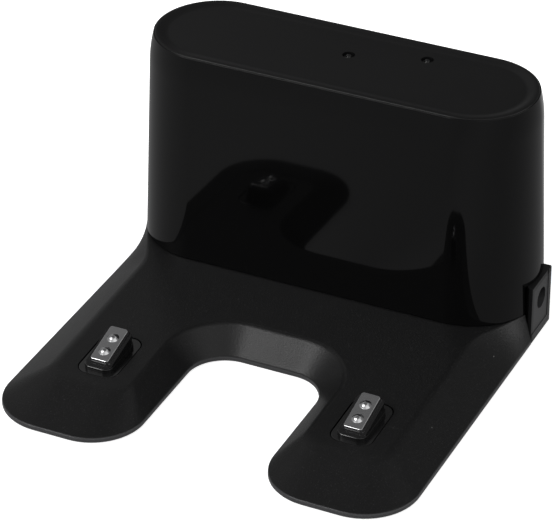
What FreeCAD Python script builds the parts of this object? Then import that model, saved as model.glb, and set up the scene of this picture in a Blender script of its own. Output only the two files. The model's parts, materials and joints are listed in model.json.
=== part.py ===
import FreeCAD, Part
import math
import os
import Sketcher

# Charging dock for a robot vacuum: U-shaped foot, pill-shaped tower, two sprung charging contacts.
# Millimetres, +Z up, -Y towards the open side of the U, origin at the middle of the footprint on the floor.

doc = FreeCAD.newDocument("charging_dock")

SIZES = [
    # foot of the dock
    ("base_width", 150.0),
    ("base_depth", 152.2),
    ("foot_proud", 0.5),
    ("rim_height", 1.7),
    ("prong_width", 51.4),
    ("slot_length", 64.85),
    ("slot_corner", 13.5),
    ("prong_inner_corner", 18.7),
    ("prong_outer_corner", 19.5),
    ("plateau_height", 11.5),
    ("plateau_tilt", 2.29),
    ("side_slope", 13.5),
    ("slot_slope", 8.4),
    ("front_slope", 21.1),
    ("plateau_corner", 7.0),
    ("plateau_round", 3.0),
    ("flare_start", 10.0),
    ("flare_radius", 22.0),
    ("roof_wall", 2.0),
    ("seat_inset", 2.4),
    ("seat_height", 2.0),
    ("cavity_inset", 3.8),
    ("cavity_top_inset", 1.6),
    ("boss_radius", 3.0),
    ("wire_window_gap", 24.9),
    ("wire_window_depth", 22.0),
    ("wire_window_corner", 5.0),
    # tower
    ("tower_depth", 51.0),
    ("tower_top", 90.35),
    ("tower_draft", 2.2),
    ("crown_start", 80.5),
    ("crown_draft", 9.6),
    ("crown_flat", 0.05),
    ("base_step", 1.1),
    ("plateau_lip", 0.9),
    ("seam_gap", 0.15),
    ("shell_wall", 2.0),
    ("shell_top_round", 0.4),
    ("flange_height", 3.0),
    ("flange_width", 6.0),
    ("ledge_height", 1.6),
    ("ledge_width", 2.0),
    ("cap_gap", 0.25),
    ("cap_wall", 1.6),
    ("cap_skirt", 6.0),
    ("cap_thick", 2.0),
    ("dish_width", 4.1),
    ("dish_depth", 1.4),
    ("cap_edge", 0.2),
    # supply inlet
    ("bezel_width", 17.4),
    ("bezel_chamfer", 1.65),
    ("bezel_sink", 1.0),
    ("bezel_top", 22.2),
    ("bezel_reach", 4.0),
    ("bezel_fit", 0.15),
    ("bezel_round", 0.5),
    ("panel_sink", 0.25),
    ("panel_margin", 2.7),
    ("panel_foot", 3.3),
    ("tenon_half", 5.5),
    ("tenon_rise", 5.0),
    ("inlet_radius", 3.75),
    ("inlet_height", 14.15),
    ("jack_length", 13.0),
    ("jack_bed", 0.6),
    ("jack_width", 9.0),
    ("jack_bore", 2.8),
    ("jack_bore_depth", 9.0),
    ("pin_radius", 1.0),
    # sprung contacts
    ("contact_inset", 28.6),
    ("contact_set_back", 38.3),
    ("opening_width", 15.2),
    ("opening_length", 24.4),
    ("opening_corner", 4.5),
    ("opening_shift", 0.55),
    ("carrier_play", 0.3),
    ("carrier_bottom", 4.7),
    ("carrier_flange", 1.4),
    ("flange_play", 0.3),
    ("carrier_sink", 0.15),
    ("block_width", 9.7),
    ("block_length", 18.5),
    ("block_corner", 2.5),
    ("block_rise", 3.4),
    ("ramp_tilt", 12.95),
    ("pedestal_rise", 0.5),
    ("pedestal_margin", 0.5),
    ("plate_width", 6.7),
    ("plate_length", 16.0),
    ("plate_thick", 0.8),
    ("plate_shift", 0.55),
    ("plate_corner", 0.9),
    ("dome_radius", 1.9),
    ("dome_rise", 0.75),
    ("dome_pitch", 6.4),
    ("spring_pocket", 3.4),
    ("spring_seat", 8.6),
    ("spring_radius", 2.6),
    ("spring_wire", 0.55),
    ("spring_turns", 4.0),
    ("post_radius", 1.5),
    ("post_height", 1.8),
    ("terminal_width", 7.0),
    ("terminal_length", 22.0),
    ("terminal_thick", 0.4),
    ("lead_radius", 0.8),
    ("lead_bend", 4.0),
    # floor plate, feet and screws
    ("plate_fit", 0.3),
    ("floor_plate_thick", 1.6),
    ("pad_radius", 6.0),
    ("pad_recess", 0.6),
    ("pad_fit", 0.3),
    ("screw_head_radius", 2.5),
    ("screw_head_height", 1.0),
    ("screw_radius", 1.2),
    ("screw_length", 4.6),
    ("screw_fit", 0.3),
    ("screw_cross", 0.7),
    # boards
    ("board_end_gap", 16.9),
    ("board_height", 40.0),
    ("board_thick", 1.6),
    ("board_set_back", 14.0),
    ("board_lift", 12.5),
    ("bracket_post", 9.0),
    ("supply_clear", 9.0),
    ("bracket_thick", 3.0),
    ("bracket_foot", 7.0),
    ("lamp_radius", 2.5),
    ("lamp_length", 4.5),
    ("lamp_pitch", 24.0),
    ("lamp_height", 42.0),
    ("shade_end_gap", 11.0),
    ("shade_height", 13.0),
    ("shade_depth", 5.0),
    ("shade_bore", 2.9),
    ("pipe_radius", 1.8),
    ("pipe_length", 8.0),
    ("pipe_sink", 0.25),
    ("pipe_fit", 0.2),
    ("small_board_length", 46.0),
    ("small_board_depth", 20.0),
    ("small_board_thick", 1.2),
    ("mark_side", 25.6),
    ("mark_near", 5.0),
    ("mark_far", 13.0),
]

sheet = doc.addObject("Spreadsheet::Sheet", "Sizes")
for row, (alias, number) in enumerate(SIZES, 1):
    sheet.set("A%d" % row, alias)
    sheet.set("B%d" % row, str(number))
    sheet.setAlias("B%d" % row, alias)
doc.recompute()


class Size:
    """A number together with the sheet formula that drives it."""

    def __init__(self, value, text):
        self.value = value
        self.text = text

    @staticmethod
    def of(other):
        if isinstance(other, Size):
            return other
        return Size(float(other), "(%r)" % float(other))

    def __add__(self, other):
        other = Size.of(other)
        return Size(self.value + other.value, "(%s + %s)" % (self.text, other.text))

    def __radd__(self, other):
        return Size.of(other) + self

    def __sub__(self, other):
        other = Size.of(other)
        return Size(self.value - other.value, "(%s - %s)" % (self.text, other.text))

    def __rsub__(self, other):
        return Size.of(other) - self

    def __mul__(self, other):
        other = Size.of(other)
        return Size(self.value * other.value, "(%s * %s)" % (self.text, other.text))

    def __rmul__(self, other):
        return Size.of(other) * self

    def __truediv__(self, other):
        other = Size.of(other)
        return Size(self.value / other.value, "(%s / %s)" % (self.text, other.text))

    def __neg__(self):
        return Size(-self.value, "(0 - %s)" % self.text)

    def root(self):
        return Size(math.sqrt(self.value), "sqrt(%s)" % self.text)

    def cosine(self):
        return Size(math.cos(math.radians(self.value)), "cos(%s * 1 deg)" % self.text)

    def tangent(self):
        return Size(math.tan(math.radians(self.value)), "tan(%s * 1 deg)" % self.text)


def size(alias):
    return Size(dict(SIZES)[alias], "Sizes." + alias)


ZERO = Size(0.0, "0")


def add_body(name, x=None, y=None, z=None):
    body = doc.addObject("PartDesign::Body", name)
    body.Label = name
    for axis, shift in (("x", x), ("y", y), ("z", z)):
        if shift is not None:
            body.setExpression("Placement.Base." + axis, shift.text)
    return body


def origin_plane(body, role):
    return [feature for feature in body.Origin.OriginFeatures if feature.Role == role][0]


def add_sketch(body, name, role="XY_Plane", x=None, y=None, z=None, tilt=None):
    sketch = body.newObject("Sketcher::SketchObject", name)
    sketch.AttachmentSupport = [(origin_plane(body, role), "")]
    sketch.MapMode = "FlatFace"
    if tilt is not None:
        turn = FreeCAD.Rotation(FreeCAD.Vector(1, 0, 0), tilt.value)
        sketch.AttachmentOffset = FreeCAD.Placement(FreeCAD.Vector(0, 0, 0), turn)
        sketch.setExpression("AttachmentOffset.Rotation.Angle", tilt.text)
    for axis, shift in (("x", x), ("y", y), ("z", z)):
        if shift is not None:
            sketch.setExpression("AttachmentOffset.Base." + axis, shift.text)
    return sketch


def bind(sketch, constraint, text):
    index = sketch.addConstraint(constraint)
    sketch.setExpression("Constraints[%d]" % index, text)


def pin_point(sketch, geometry, corner, x, y):
    for kind, axis, place in (("DistanceX", -2, x), ("DistanceY", -1, y)):
        if abs(place.value) < 1e-9:
            sketch.addConstraint(Sketcher.Constraint("PointOnObject", geometry, corner, axis))
        elif place.value > 0:
            pair = Sketcher.Constraint(kind, -1, 1, geometry, corner, place.value)
            bind(sketch, pair, place.text)
        else:
            pair = Sketcher.Constraint(kind, geometry, corner, -1, 1, -place.value)
            bind(sketch, pair, (-place).text)


def trace(sketch, corners):
    """Closed outline; a corner is (x, y) after a straight, (x, y, radius, turn) after an arc."""
    ends = []
    for index, corner in enumerate(corners):
        before = corners[index - 1]
        start = FreeCAD.Vector(Size.of(before[0]).value, Size.of(before[1]).value, 0)
        stop = FreeCAD.Vector(Size.of(corner[0]).value, Size.of(corner[1]).value, 0)
        if len(corner) == 2:
            geometry = sketch.addGeometry(Part.LineSegment(start, stop), False)
            ends.append((geometry, 1, 2))
            continue
        radius, turn = corner[2], corner[3]
        chord = stop - start
        side = FreeCAD.Vector(-chord.y, chord.x, 0).normalize()
        rise = math.sqrt(max(radius.value ** 2 - chord.Length ** 2 / 4, 0))
        centre = (start + stop) * 0.5 + side * rise * turn
        first, last = (start, stop) if turn > 0 else (stop, start)
        begin = math.atan2(first.y - centre.y, first.x - centre.x)
        finish = math.atan2(last.y - centre.y, last.x - centre.x)
        while finish < begin:
            finish += 2 * math.pi
        circle = Part.Circle(centre, FreeCAD.Vector(0, 0, 1), radius.value)
        geometry = sketch.addGeometry(Part.ArcOfCircle(circle, begin, finish), False)
        ends.append((geometry, 1, 2) if turn > 0 else (geometry, 2, 1))
    for index, corner in enumerate(corners):
        geometry, _, stop = ends[index]
        follower, start, _ = ends[(index + 1) % len(ends)]
        sketch.addConstraint(Sketcher.Constraint("Coincident", geometry, stop, follower, start))
        pin_point(sketch, geometry, stop, Size.of(corner[0]), Size.of(corner[1]))
        if len(corner) == 4:
            bind(sketch, Sketcher.Constraint("Radius", geometry, corner[2].value), corner[2].text)
    return sketch


def trace_circle(sketch, x, y, radius):
    centre = FreeCAD.Vector(x.value, y.value, 0)
    circle = Part.Circle(centre, FreeCAD.Vector(0, 0, 1), radius.value)
    geometry = sketch.addGeometry(circle, False)
    pin_point(sketch, geometry, 3, x, y)
    bind(sketch, Sketcher.Constraint("Radius", geometry, radius.value), radius.text)
    return sketch


def pill(sketch, half_length, half_depth):
    """Straight-sided outline with round ends, centred on the sketch."""
    straight = half_length - half_depth
    corners = [
        (straight, -half_depth),
        (half_length, ZERO, half_depth, 1),
        (straight, half_depth, half_depth, 1),
        (-straight, half_depth),
        (-half_length, ZERO, half_depth, 1),
        (-straight, -half_depth, half_depth, 1),
    ]
    return trace(sketch, corners)


def rounded(sketch, half_x, half_y, radius, x=ZERO, y=ZERO):
    """Rectangle with rounded corners about a point."""
    corners = [
        (x + half_x - radius, y - half_y),
        (x + half_x, y - half_y + radius, radius, 1),
        (x + half_x, y + half_y - radius),
        (x + half_x - radius, y + half_y, radius, 1),
        (x - half_x + radius, y + half_y),
        (x - half_x, y + half_y - radius, radius, 1),
        (x - half_x, y - half_y + radius),
        (x - half_x + radius, y - half_y, radius, 1),
    ]
    return trace(sketch, corners)


def rectangle(sketch, left, right, low, high):
    return trace(sketch, [(right, low), (right, high), (left, high), (left, low)])


def pad(body, sketch, length, middle=False, back=False):
    feature = body.newObject("PartDesign::Pad", sketch.Name + "_pad")
    feature.Profile = sketch
    feature.setExpression("Length", length.text)
    if middle:
        feature.SideType = "Symmetric"
    feature.Reversed = back
    sketch.Visibility = False
    doc.recompute()
    return feature


def pocket(body, sketch, depth):
    """Cut that is turned over when the first direction takes nothing away."""
    before = body.Shape.Volume
    feature = body.newObject("PartDesign::Pocket", sketch.Name + "_pocket")
    feature.Profile = sketch
    feature.setExpression("Length", depth.text)
    sketch.Visibility = False
    doc.recompute()
    if feature.State != ["Up-to-date"] or body.Shape.Volume > before - 0.5:
        feature.Reversed = True
        doc.recompute()
    return feature


def loft(body, low, high, cut=False):
    kind = "PartDesign::SubtractiveLoft" if cut else "PartDesign::AdditiveLoft"
    feature = body.newObject(kind, low.Name + "_loft")
    feature.Profile = low
    feature.Sections = [high]
    feature.Ruled = True
    low.Visibility = False
    high.Visibility = False
    doc.recompute()
    return feature


def mirrored(body, originals):
    feature = body.newObject("PartDesign::Mirrored", originals[0].Name + "_mirror")
    feature.Originals = originals
    feature.MirrorPlane = (origin_plane(body, "YZ_Plane"), [""])
    body.Tip = feature
    doc.recompute()
    return feature


def soften(body, edges, radius, name):
    below = body.Tip
    feature = body.newObject("PartDesign::Fillet", name)
    feature.Base = (below, edges)
    feature.setExpression("Radius", radius.text)
    doc.recompute()
    return feature


def revolve(body, sketch):
    feature = body.newObject("PartDesign::Revolution", sketch.Name + "_turn")
    feature.Profile = sketch
    feature.ReferenceAxis = (sketch, ["V_Axis"])
    feature.Angle = 360
    sketch.Visibility = False
    doc.recompute()
    return feature


# Places shared by several pieces. The working frame of the foot lies at the tower's front seam.
half_width = size("base_width") / 2
half_slot = half_width - size("prong_width")
tower_half_length = half_width - size("base_step")
tower_half_depth = size("tower_depth") / 2
seam_place = size("base_depth") / 2 - size("base_step") - size("tower_depth")
front_edge = -(size("base_depth") - size("base_step") - size("tower_depth"))
slot_rear = front_edge + size("slot_length")
back_edge = size("tower_depth") + size("base_step")
lift = size("foot_proud")
slope = size("plateau_tilt").tangent()


def rim_front(sketch, inset):
    side = half_width - inset
    slot = half_slot + inset
    rear = slot_rear + inset
    front = front_edge + inset
    bend = size("slot_corner") + inset
    inner = size("prong_inner_corner") - inset
    outer = size("prong_outer_corner") - inset
    return trace(sketch, [
        (ZERO, rear),
        (slot - bend, rear),
        (slot, rear - bend, bend, -1),
        (slot, front + inner),
        (slot + inner, front, inner, 1),
        (side - outer, front),
        (side, front + outer, outer, 1),
        (side, -size("flare_start")),
        (side, ZERO),
        (ZERO, ZERO),
    ])


def flare(reach, inset):
    """Sideways swing of the plateau edge at a distance behind the start of the flare."""
    radius = size("flare_radius") + inset
    return radius - (radius * radius - reach * reach).root()


def plateau_front(sketch, inset):
    side = half_width - size("side_slope") - inset
    slot = half_slot + size("slot_slope") + inset
    rear = slot_rear + size("slot_slope") + inset
    front = front_edge + size("front_slope") + inset
    bend = size("slot_corner") + size("slot_slope") + inset
    corner = size("plateau_corner") - inset
    start = size("flare_start")
    return trace(sketch, [
        (ZERO, rear),
        (slot - bend, rear),
        (slot, rear - bend, bend, -1),
        (slot, front + corner),
        (slot + corner, front, corner, 1),
        (side - corner, front),
        (side, front + corner, corner, 1),
        (side, -start),
        (side + flare(start, inset), ZERO, size("flare_radius") + inset, -1),
        (ZERO, ZERO),
    ])


def flare_end(inset):
    """Place where the flared plateau edge reaches the outer wall beside the tower."""
    step = size("base_step") - size("plateau_lip") + inset
    start = size("flare_start")
    bend = size("flare_radius") + inset
    spread = size("side_slope") + inset - step - flare(start, inset)
    return spread * (bend * bend - start * start).root() / start


def rim_back(sketch, inset):
    side = half_width - inset
    bend = tower_half_depth + size("base_step") - inset
    return trace(sketch, [
        (side, ZERO),
        (side, flare_end(inset)),
        (side, tower_half_depth),
        (side - bend, back_edge - inset, bend, 1),
        (ZERO, back_edge - inset),
        (ZERO, ZERO),
    ])


def plateau_back(sketch, inset):
    side = half_width - size("side_slope") - inset
    step = size("base_step") - size("plateau_lip") + inset
    outer = half_width - step
    bend = tower_half_depth + size("base_step") - step
    return trace(sketch, [
        (side + flare(size("flare_start"), inset), ZERO),
        (outer, flare_end(inset)),
        (outer, tower_half_depth),
        (outer - bend, back_edge - step, bend, 1),
        (ZERO, back_edge - step),
        (ZERO, ZERO),
    ])


def rim_whole(sketch, inset):
    side = half_width - inset
    slot = half_slot + inset
    rear = slot_rear + inset
    front = front_edge + inset
    bend = size("slot_corner") + inset
    inner = size("prong_inner_corner") - inset
    outer = size("prong_outer_corner") - inset
    back = tower_half_depth + size("base_step") - inset
    return trace(sketch, [
        (ZERO, rear),
        (slot - bend, rear),
        (slot, rear - bend, bend, -1),
        (slot, front + inner),
        (slot + inner, front, inner, 1),
        (side - outer, front),
        (side, front + outer, outer, 1),
        (side, tower_half_depth),
        (side - back, back_edge - inset, back, 1),
        (ZERO, back_edge - inset),
    ])


# Places of the contacts, screws and pads in the working frame
contact_x = half_width - size("contact_inset")
contact_y = -(seam_place + size("contact_set_back"))
contact_floor = size("plateau_height") + slope * contact_y
bezel_middle = tower_half_depth
bezel_low = bezel_middle - size("bezel_width") / 2
bezel_high = bezel_middle + size("bezel_width") / 2
bezel_back = half_width - size("bezel_reach")
boss_side = half_width - size("side_slope") - size("boss_radius") - 1.5
boss_front = contact_y + size("opening_length") - 1.5
boss_rear = tower_half_depth
pad_side = contact_x
pad_front = front_edge + size("front_slope") - 5.0
pad_rear = size("tower_depth") - size("pad_radius") * 2 - 1.0
plate_low = size("seat_height") - size("floor_plate_thick")
floor_level = size("seat_height")

# Base cover: moulded U-shaped foot with a thin upright rim, sloped skirt and gently ramped plateau
base_cover = add_body("base_cover", y=seam_place, z=lift)
rim = pad(base_cover, rim_whole(add_sketch(base_cover, "cover_rim"), ZERO), size("rim_height"))
skirt_front = loft(
    base_cover,
    rim_front(add_sketch(base_cover, "skirt_front_low", z=size("rim_height")), ZERO),
    plateau_front(
        add_sketch(base_cover, "skirt_front_high", z=size("plateau_height"), tilt=size("plateau_tilt")), ZERO
    ),
)
skirt_back = loft(
    base_cover,
    rim_back(add_sketch(base_cover, "skirt_back_low", z=size("rim_height")), ZERO),
    plateau_back(add_sketch(base_cover, "skirt_back_high", z=size("plateau_height")), ZERO),
)
mirrored(base_cover, [rim, skirt_front, skirt_back])


def plateau_edges(shape):
    """Edges round the part of the plateau in front of the tower."""
    names = []
    for index, edge in enumerate(shape.Edges, 1):
        low, high = edge.ParameterRange
        spots = [edge.valueAt(low + (high - low) * part) for part in (0.0, 0.3, 0.7, 1.0)]
        rise = [spot.z - size("plateau_height").value - slope.value * spot.y for spot in spots]
        level = max(abs(step) for step in rise) < 0.01
        seam = max(abs(spot.y) for spot in spots) < 0.01
        if level and not seam and max(spot.y for spot in spots) < 0.01:
            names.append("Edge%d" % index)
    return names


soften(base_cover, plateau_edges(base_cover.Tip.Shape), size("plateau_round"), "plateau_softening")

# Hollow underside of the foot with a seat for the floor plate
seat_sketch = rim_whole(add_sketch(base_cover, "plate_seat"), size("seat_inset"))
seat = pocket(base_cover, seat_sketch, size("seat_height"))
roof_height = size("plateau_height") - size("roof_wall")
hollow_front = loft(
    base_cover,
    rim_front(add_sketch(base_cover, "hollow_front_low", z=size("seat_height")), size("cavity_inset")),
    plateau_front(
        add_sketch(base_cover, "hollow_front_high", z=roof_height, tilt=size("plateau_tilt")),
        size("cavity_top_inset"),
    ),
    cut=True,
)
hollow_back = loft(
    base_cover,
    rim_back(add_sketch(base_cover, "hollow_back_low", z=size("seat_height")), size("cavity_inset")),
    plateau_back(add_sketch(base_cover, "hollow_back_high", z=roof_height), size("cavity_top_inset")),
    cut=True,
)
mirrored(base_cover, [seat, hollow_front, hollow_back])

# Screw bosses, contact openings, wire window and the recess of the inlet block
front_boss_top = size("plateau_height") + slope * boss_front - size("roof_wall") / 2
rear_boss_top = size("plateau_height") - size("roof_wall") / 2
boss_sketch = add_sketch(base_cover, "front_bosses", z=size("seat_height"))
trace_circle(boss_sketch, boss_side, boss_front, size("boss_radius"))
trace_circle(boss_sketch, -boss_side, boss_front, size("boss_radius"))
pad(base_cover, boss_sketch, front_boss_top - size("seat_height"))
boss_sketch = add_sketch(base_cover, "rear_bosses", z=size("seat_height"))
trace_circle(boss_sketch, boss_side, boss_rear, size("boss_radius"))
trace_circle(boss_sketch, -boss_side, boss_rear, size("boss_radius"))
pad(base_cover, boss_sketch, rear_boss_top - size("seat_height"))
thread_radius = size("screw_radius") + size("screw_fit") / 2
hole_sketch = add_sketch(base_cover, "boss_holes")
for side in (1, -1):
    for place in (boss_front, boss_rear):
        trace_circle(hole_sketch, boss_side * side, place, thread_radius)
pocket(base_cover, hole_sketch, size("seat_height") + size("screw_length"))
opening_sketch = add_sketch(base_cover, "contact_openings")
for side in (1, -1):
    rounded(
        opening_sketch,
        size("opening_width") / 2,
        size("opening_length") / 2,
        size("opening_corner"),
        contact_x * side,
        contact_y + size("opening_shift"),
    )
pocket(base_cover, opening_sketch, size("plateau_height") * 2)
window_sketch = add_sketch(base_cover, "wire_window", y=tower_half_depth)
rounded(
    window_sketch,
    tower_half_length - size("wire_window_gap"),
    size("wire_window_depth") / 2,
    size("wire_window_corner"),
)
pocket(base_cover, window_sketch, size("plateau_height") * 2)
fixing_x = tower_half_length * 0.4
fixing_inset = size("shell_wall") + size("flange_width") / 2
fixing_sketch = add_sketch(base_cover, "tower_fixing_holes", y=tower_half_depth)
for side in (1, -1):
    for face in (1, -1):
        place = (tower_half_depth - fixing_inset) * face
        trace_circle(fixing_sketch, fixing_x * side, place, size("screw_radius") + size("screw_fit"))
pocket(base_cover, fixing_sketch, size("plateau_height") * 2)
recess_sketch = add_sketch(base_cover, "inlet_recess")
rectangle(
    recess_sketch,
    bezel_back - size("bezel_fit"),
    half_width + 1.0,
    bezel_low - size("bezel_fit"),
    bezel_high + size("bezel_fit"),
)
pocket(base_cover, recess_sketch, size("plateau_height") * 2)

bed_sketch = add_sketch(base_cover, "jack_bed", z=size("plateau_height"))
rectangle(
    bed_sketch,
    bezel_back - size("bezel_fit") * 2 - size("jack_length"),
    bezel_back,
    bezel_middle - size("jack_width") / 2 - size("bezel_fit"),
    bezel_middle + size("jack_width") / 2 + size("bezel_fit"),
)
pocket(base_cover, bed_sketch, size("jack_bed"))

# Floor plate: closes the underside and carries the feet, the springs and the screws
base_plate = add_body("base_plate", y=seam_place, z=lift)
plate_sketch = add_sketch(base_plate, "floor_outline", z=plate_low)
plate_half = pad(
    base_plate, rim_whole(plate_sketch, size("seat_inset") + size("plate_fit")), size("floor_plate_thick")
)
mirrored(base_plate, [plate_half])
post_sketch = add_sketch(base_plate, "spring_posts", z=floor_level)
for side in (1, -1):
    trace_circle(post_sketch, contact_x * side, contact_y, size("post_radius"))
pad(base_plate, post_sketch, size("post_height"))
recesses = add_sketch(base_plate, "pad_recesses", z=plate_low)
for side in (1, -1):
    for place in (pad_front, pad_rear):
        trace_circle(recesses, pad_side * side, place, size("pad_radius") + size("pad_fit"))
pocket(base_plate, recesses, size("pad_recess"))
bores = add_sketch(base_plate, "screw_bores", z=plate_low)
for side in (1, -1):
    for place in (boss_front, boss_rear):
        trace_circle(bores, boss_side * side, place, size("screw_radius") + size("screw_fit"))
pocket(base_plate, bores, size("floor_plate_thick") * 2)
sink_depth = size("screw_head_height") + 0.1
sinks = add_sketch(base_plate, "screw_sinks", z=plate_low)
for side in (1, -1):
    for place in (boss_front, boss_rear):
        trace_circle(sinks, boss_side * side, place, size("screw_head_radius") + size("screw_fit"))
pocket(base_plate, sinks, sink_depth)
notch = add_sketch(base_plate, "inlet_notch", z=plate_low)
rectangle(
    notch,
    bezel_back - size("plate_fit"),
    half_width + 1.0,
    bezel_low - size("plate_fit"),
    bezel_high + size("plate_fit"),
)
pocket(base_plate, notch, size("floor_plate_thick") * 2)

# Rubber pads under the floor plate
for name, side, place in (
    ("foot_front_left", -1, pad_front),
    ("foot_front_right", 1, pad_front),
    ("foot_rear_left", -1, pad_rear),
    ("foot_rear_right", 1, pad_rear),
):
    foot = add_body(name, x=pad_side * side, y=seam_place + place)
    foot_sketch = trace_circle(add_sketch(foot, name + "_disc"), ZERO, ZERO, size("pad_radius"))
    pad(foot, foot_sketch, lift + plate_low + size("pad_recess"))
    rim_edge = [
        "Edge%d" % number
        for number, edge in enumerate(foot.Tip.Shape.Edges, 1)
        if edge.Closed and abs(edge.CenterOfMass.z) < 1e-6
    ]
    soften(foot, rim_edge, size("pad_recess") / 2, name + "_round")

# Tower shell: glossy pill-shaped sleeve, drafted towards the top
shell_bottom = size("plateau_height") + size("seam_gap")
draft = size("tower_draft").tangent()


def tower_pill(body, name, height, inset):
    sketch = add_sketch(body, name, z=height)
    shrink = draft * (height - shell_bottom) + inset
    return pill(sketch, tower_half_length - shrink, tower_half_depth - shrink)


def tower_loft(body, name, low, low_inset, high, high_inset, cut=False):
    first = tower_pill(body, name + "_low", low, low_inset)
    second = tower_pill(body, name + "_high", high, high_inset)
    return loft(body, first, second, cut)


tower_place = seam_place + tower_half_depth
tower_shell = add_body("tower_shell", y=tower_place, z=lift)
sleeve = pad(
    tower_shell,
    tower_pill(tower_shell, "shell_outside", shell_bottom, ZERO),
    size("crown_start") - shell_bottom,
)
sleeve.setExpression("TaperAngle", (-size("tower_draft")).text)
crown = pad(
    tower_shell,
    tower_pill(tower_shell, "shell_crown", size("crown_start"), ZERO),
    size("tower_top") - size("crown_start"),
)
crown.setExpression("TaperAngle", (-size("crown_draft")).text)
doc.recompute()


def level_edges(shape, height):
    """Edges of a shape that lie at one height."""
    return [
        "Edge%d" % number
        for number, edge in enumerate(shape.Edges, 1)
        if max(abs(vertex.Z - height.value) for vertex in edge.Vertexes) < 0.01
    ]


top_edges = level_edges(tower_shell.Tip.Shape, size("tower_top"))
soften(tower_shell, top_edges, size("shell_top_round"), "shell_top_softening")
crown_shrink = (size("tower_top") - size("crown_start")) * (size("crown_draft").tangent() - draft)
top_wall = crown_shrink + size("shell_top_round") + size("crown_flat")
ledge_top = size("tower_top") - size("cap_skirt") - size("cap_edge")
ledge_bottom = ledge_top - size("ledge_height")
flange_top = shell_bottom + size("flange_height")
tower_loft(tower_shell, "cap_seat", ledge_top, top_wall, size("tower_top") + 1.0, top_wall, True)
tower_loft(
    tower_shell,
    "ledge_hole",
    ledge_bottom - 1.0,
    size("shell_wall") + size("ledge_width"),
    ledge_top + 1.0,
    size("shell_wall") + size("ledge_width"),
    True,
)
wall = size("shell_wall")
tower_loft(tower_shell, "shell_inside", flange_top, wall, ledge_bottom, wall, True)
tower_loft(
    tower_shell,
    "flange_hole",
    shell_bottom - 1.0,
    size("shell_wall") + size("flange_width"),
    flange_top + 1.0,
    size("shell_wall") + size("flange_width"),
    True,
)
fixings = add_sketch(tower_shell, "flange_fixings", z=shell_bottom)
for side in (1, -1):
    for face in (1, -1):
        trace_circle(fixings, fixing_x * side, (tower_half_depth - fixing_inset) * face, thread_radius)
pocket(tower_shell, fixings, size("flange_height") + 1.0)
tenon_top = size("inlet_height") + size("tenon_rise")
inlet_window = add_sketch(tower_shell, "inlet_window", z=shell_bottom)
window_half = size("tenon_half") + size("carrier_play")
rectangle(inlet_window, tower_half_length - 12.0, half_width + 1.0, -window_half, window_half)
pocket(tower_shell, inlet_window, tenon_top + size("carrier_play") - shell_bottom)

end_middle = tower_half_length - tower_half_depth
seat_round = tower_half_depth - size("bezel_sink") - size("bezel_fit")
seat_half = size("bezel_width") / 2 + size("bezel_fit")
seat_back = end_middle + (seat_round * seat_round - seat_half * seat_half).root()
bezel_seat = add_sketch(tower_shell, "bezel_seat", z=shell_bottom)
trace(bezel_seat, [
    (half_width + 1.0, -seat_half),
    (half_width + 1.0, seat_half),
    (seat_back, seat_half),
    (seat_back, -seat_half, seat_round, -1),
])
pocket(tower_shell, bezel_seat, size("bezel_top") + size("bezel_fit") - shell_bottom)

# Top cap: dished lid that drops into the shell
top_cap = add_body("top_cap", y=tower_place, z=lift)
cap_top = size("tower_top") - size("cap_edge")
cap_inset = top_wall + size("cap_gap")
tower_loft(top_cap, "cap_outside", ledge_top, cap_inset, cap_top, cap_inset)
dish_floor = cap_top - size("dish_depth")
dish_inset = cap_inset + size("dish_width")
tower_loft(top_cap, "cap_dish", dish_floor, dish_inset, cap_top, cap_inset, True)
dish_edges = [
    "Edge%d" % number
    for number, edge in enumerate(top_cap.Tip.Shape.Edges, 1)
    if max(abs(v.Z - cap_top.value + size("dish_depth").value) for v in edge.Vertexes) < 0.01
]
soften(top_cap, dish_edges, size("plateau_round"), "dish_softening")
cap_floor = cap_top - size("dish_depth")
tower_loft(
    top_cap,
    "cap_hollow",
    ledge_top - 1.0,
    cap_inset + size("cap_wall"),
    cap_floor - size("cap_thick"),
    cap_inset + size("cap_wall"),
    True,
)
pipe_holes = add_sketch(top_cap, "pipe_holes", z=cap_floor)
pipe_places = ((ZERO, size("mark_near")), (size("mark_side"), size("mark_far")))
for across, along in pipe_places:
    trace_circle(pipe_holes, across, along, size("pipe_radius") + size("pipe_fit"))
pocket(top_cap, pipe_holes, size("cap_thick") * 2)
small_board_top = cap_floor - size("pipe_sink") - size("pipe_length")
small_board_x = size("mark_side") / 2
small_board_y = (size("mark_near") + size("mark_far")) / 2
stakes = add_sketch(top_cap, "board_stakes", z=small_board_top)
stake_x = size("small_board_length") / 2 - 3.0
for side in (1, -1):
    trace_circle(stakes, small_board_x + stake_x * side, small_board_y, size("pipe_radius"))
pad(top_cap, stakes, cap_floor - small_board_top - size("cap_thick") / 2)

# Clear pipes that bring the two indicator lamps to the lid
light_pipes = doc.addObject("Part::Compound", "light_pipes")
rods = []
for number, (across, along) in enumerate(pipe_places, 1):
    rod = doc.addObject("Part::Cylinder", "light_pipe_rod_%d" % number)
    rod.setExpression("Radius", size("pipe_radius").text)
    rod.setExpression("Height", size("pipe_length").text)
    rod.setExpression("Placement.Base.x", across.text)
    rod.setExpression("Placement.Base.y", (tower_place + along).text)
    rod.setExpression("Placement.Base.z", (lift + small_board_top).text)
    rods.append(rod)
light_pipes.Links = rods
small_board = add_body("indicator_board", x=small_board_x, y=tower_place + small_board_y, z=lift)
small_sketch = add_sketch(small_board, "indicator_outline", z=small_board_top - size("small_board_thick"))
rounded(small_sketch, size("small_board_length") / 2, size("small_board_depth") / 2, size("plate_corner"))
pad(small_board, small_sketch, size("small_board_thick"))

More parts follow.
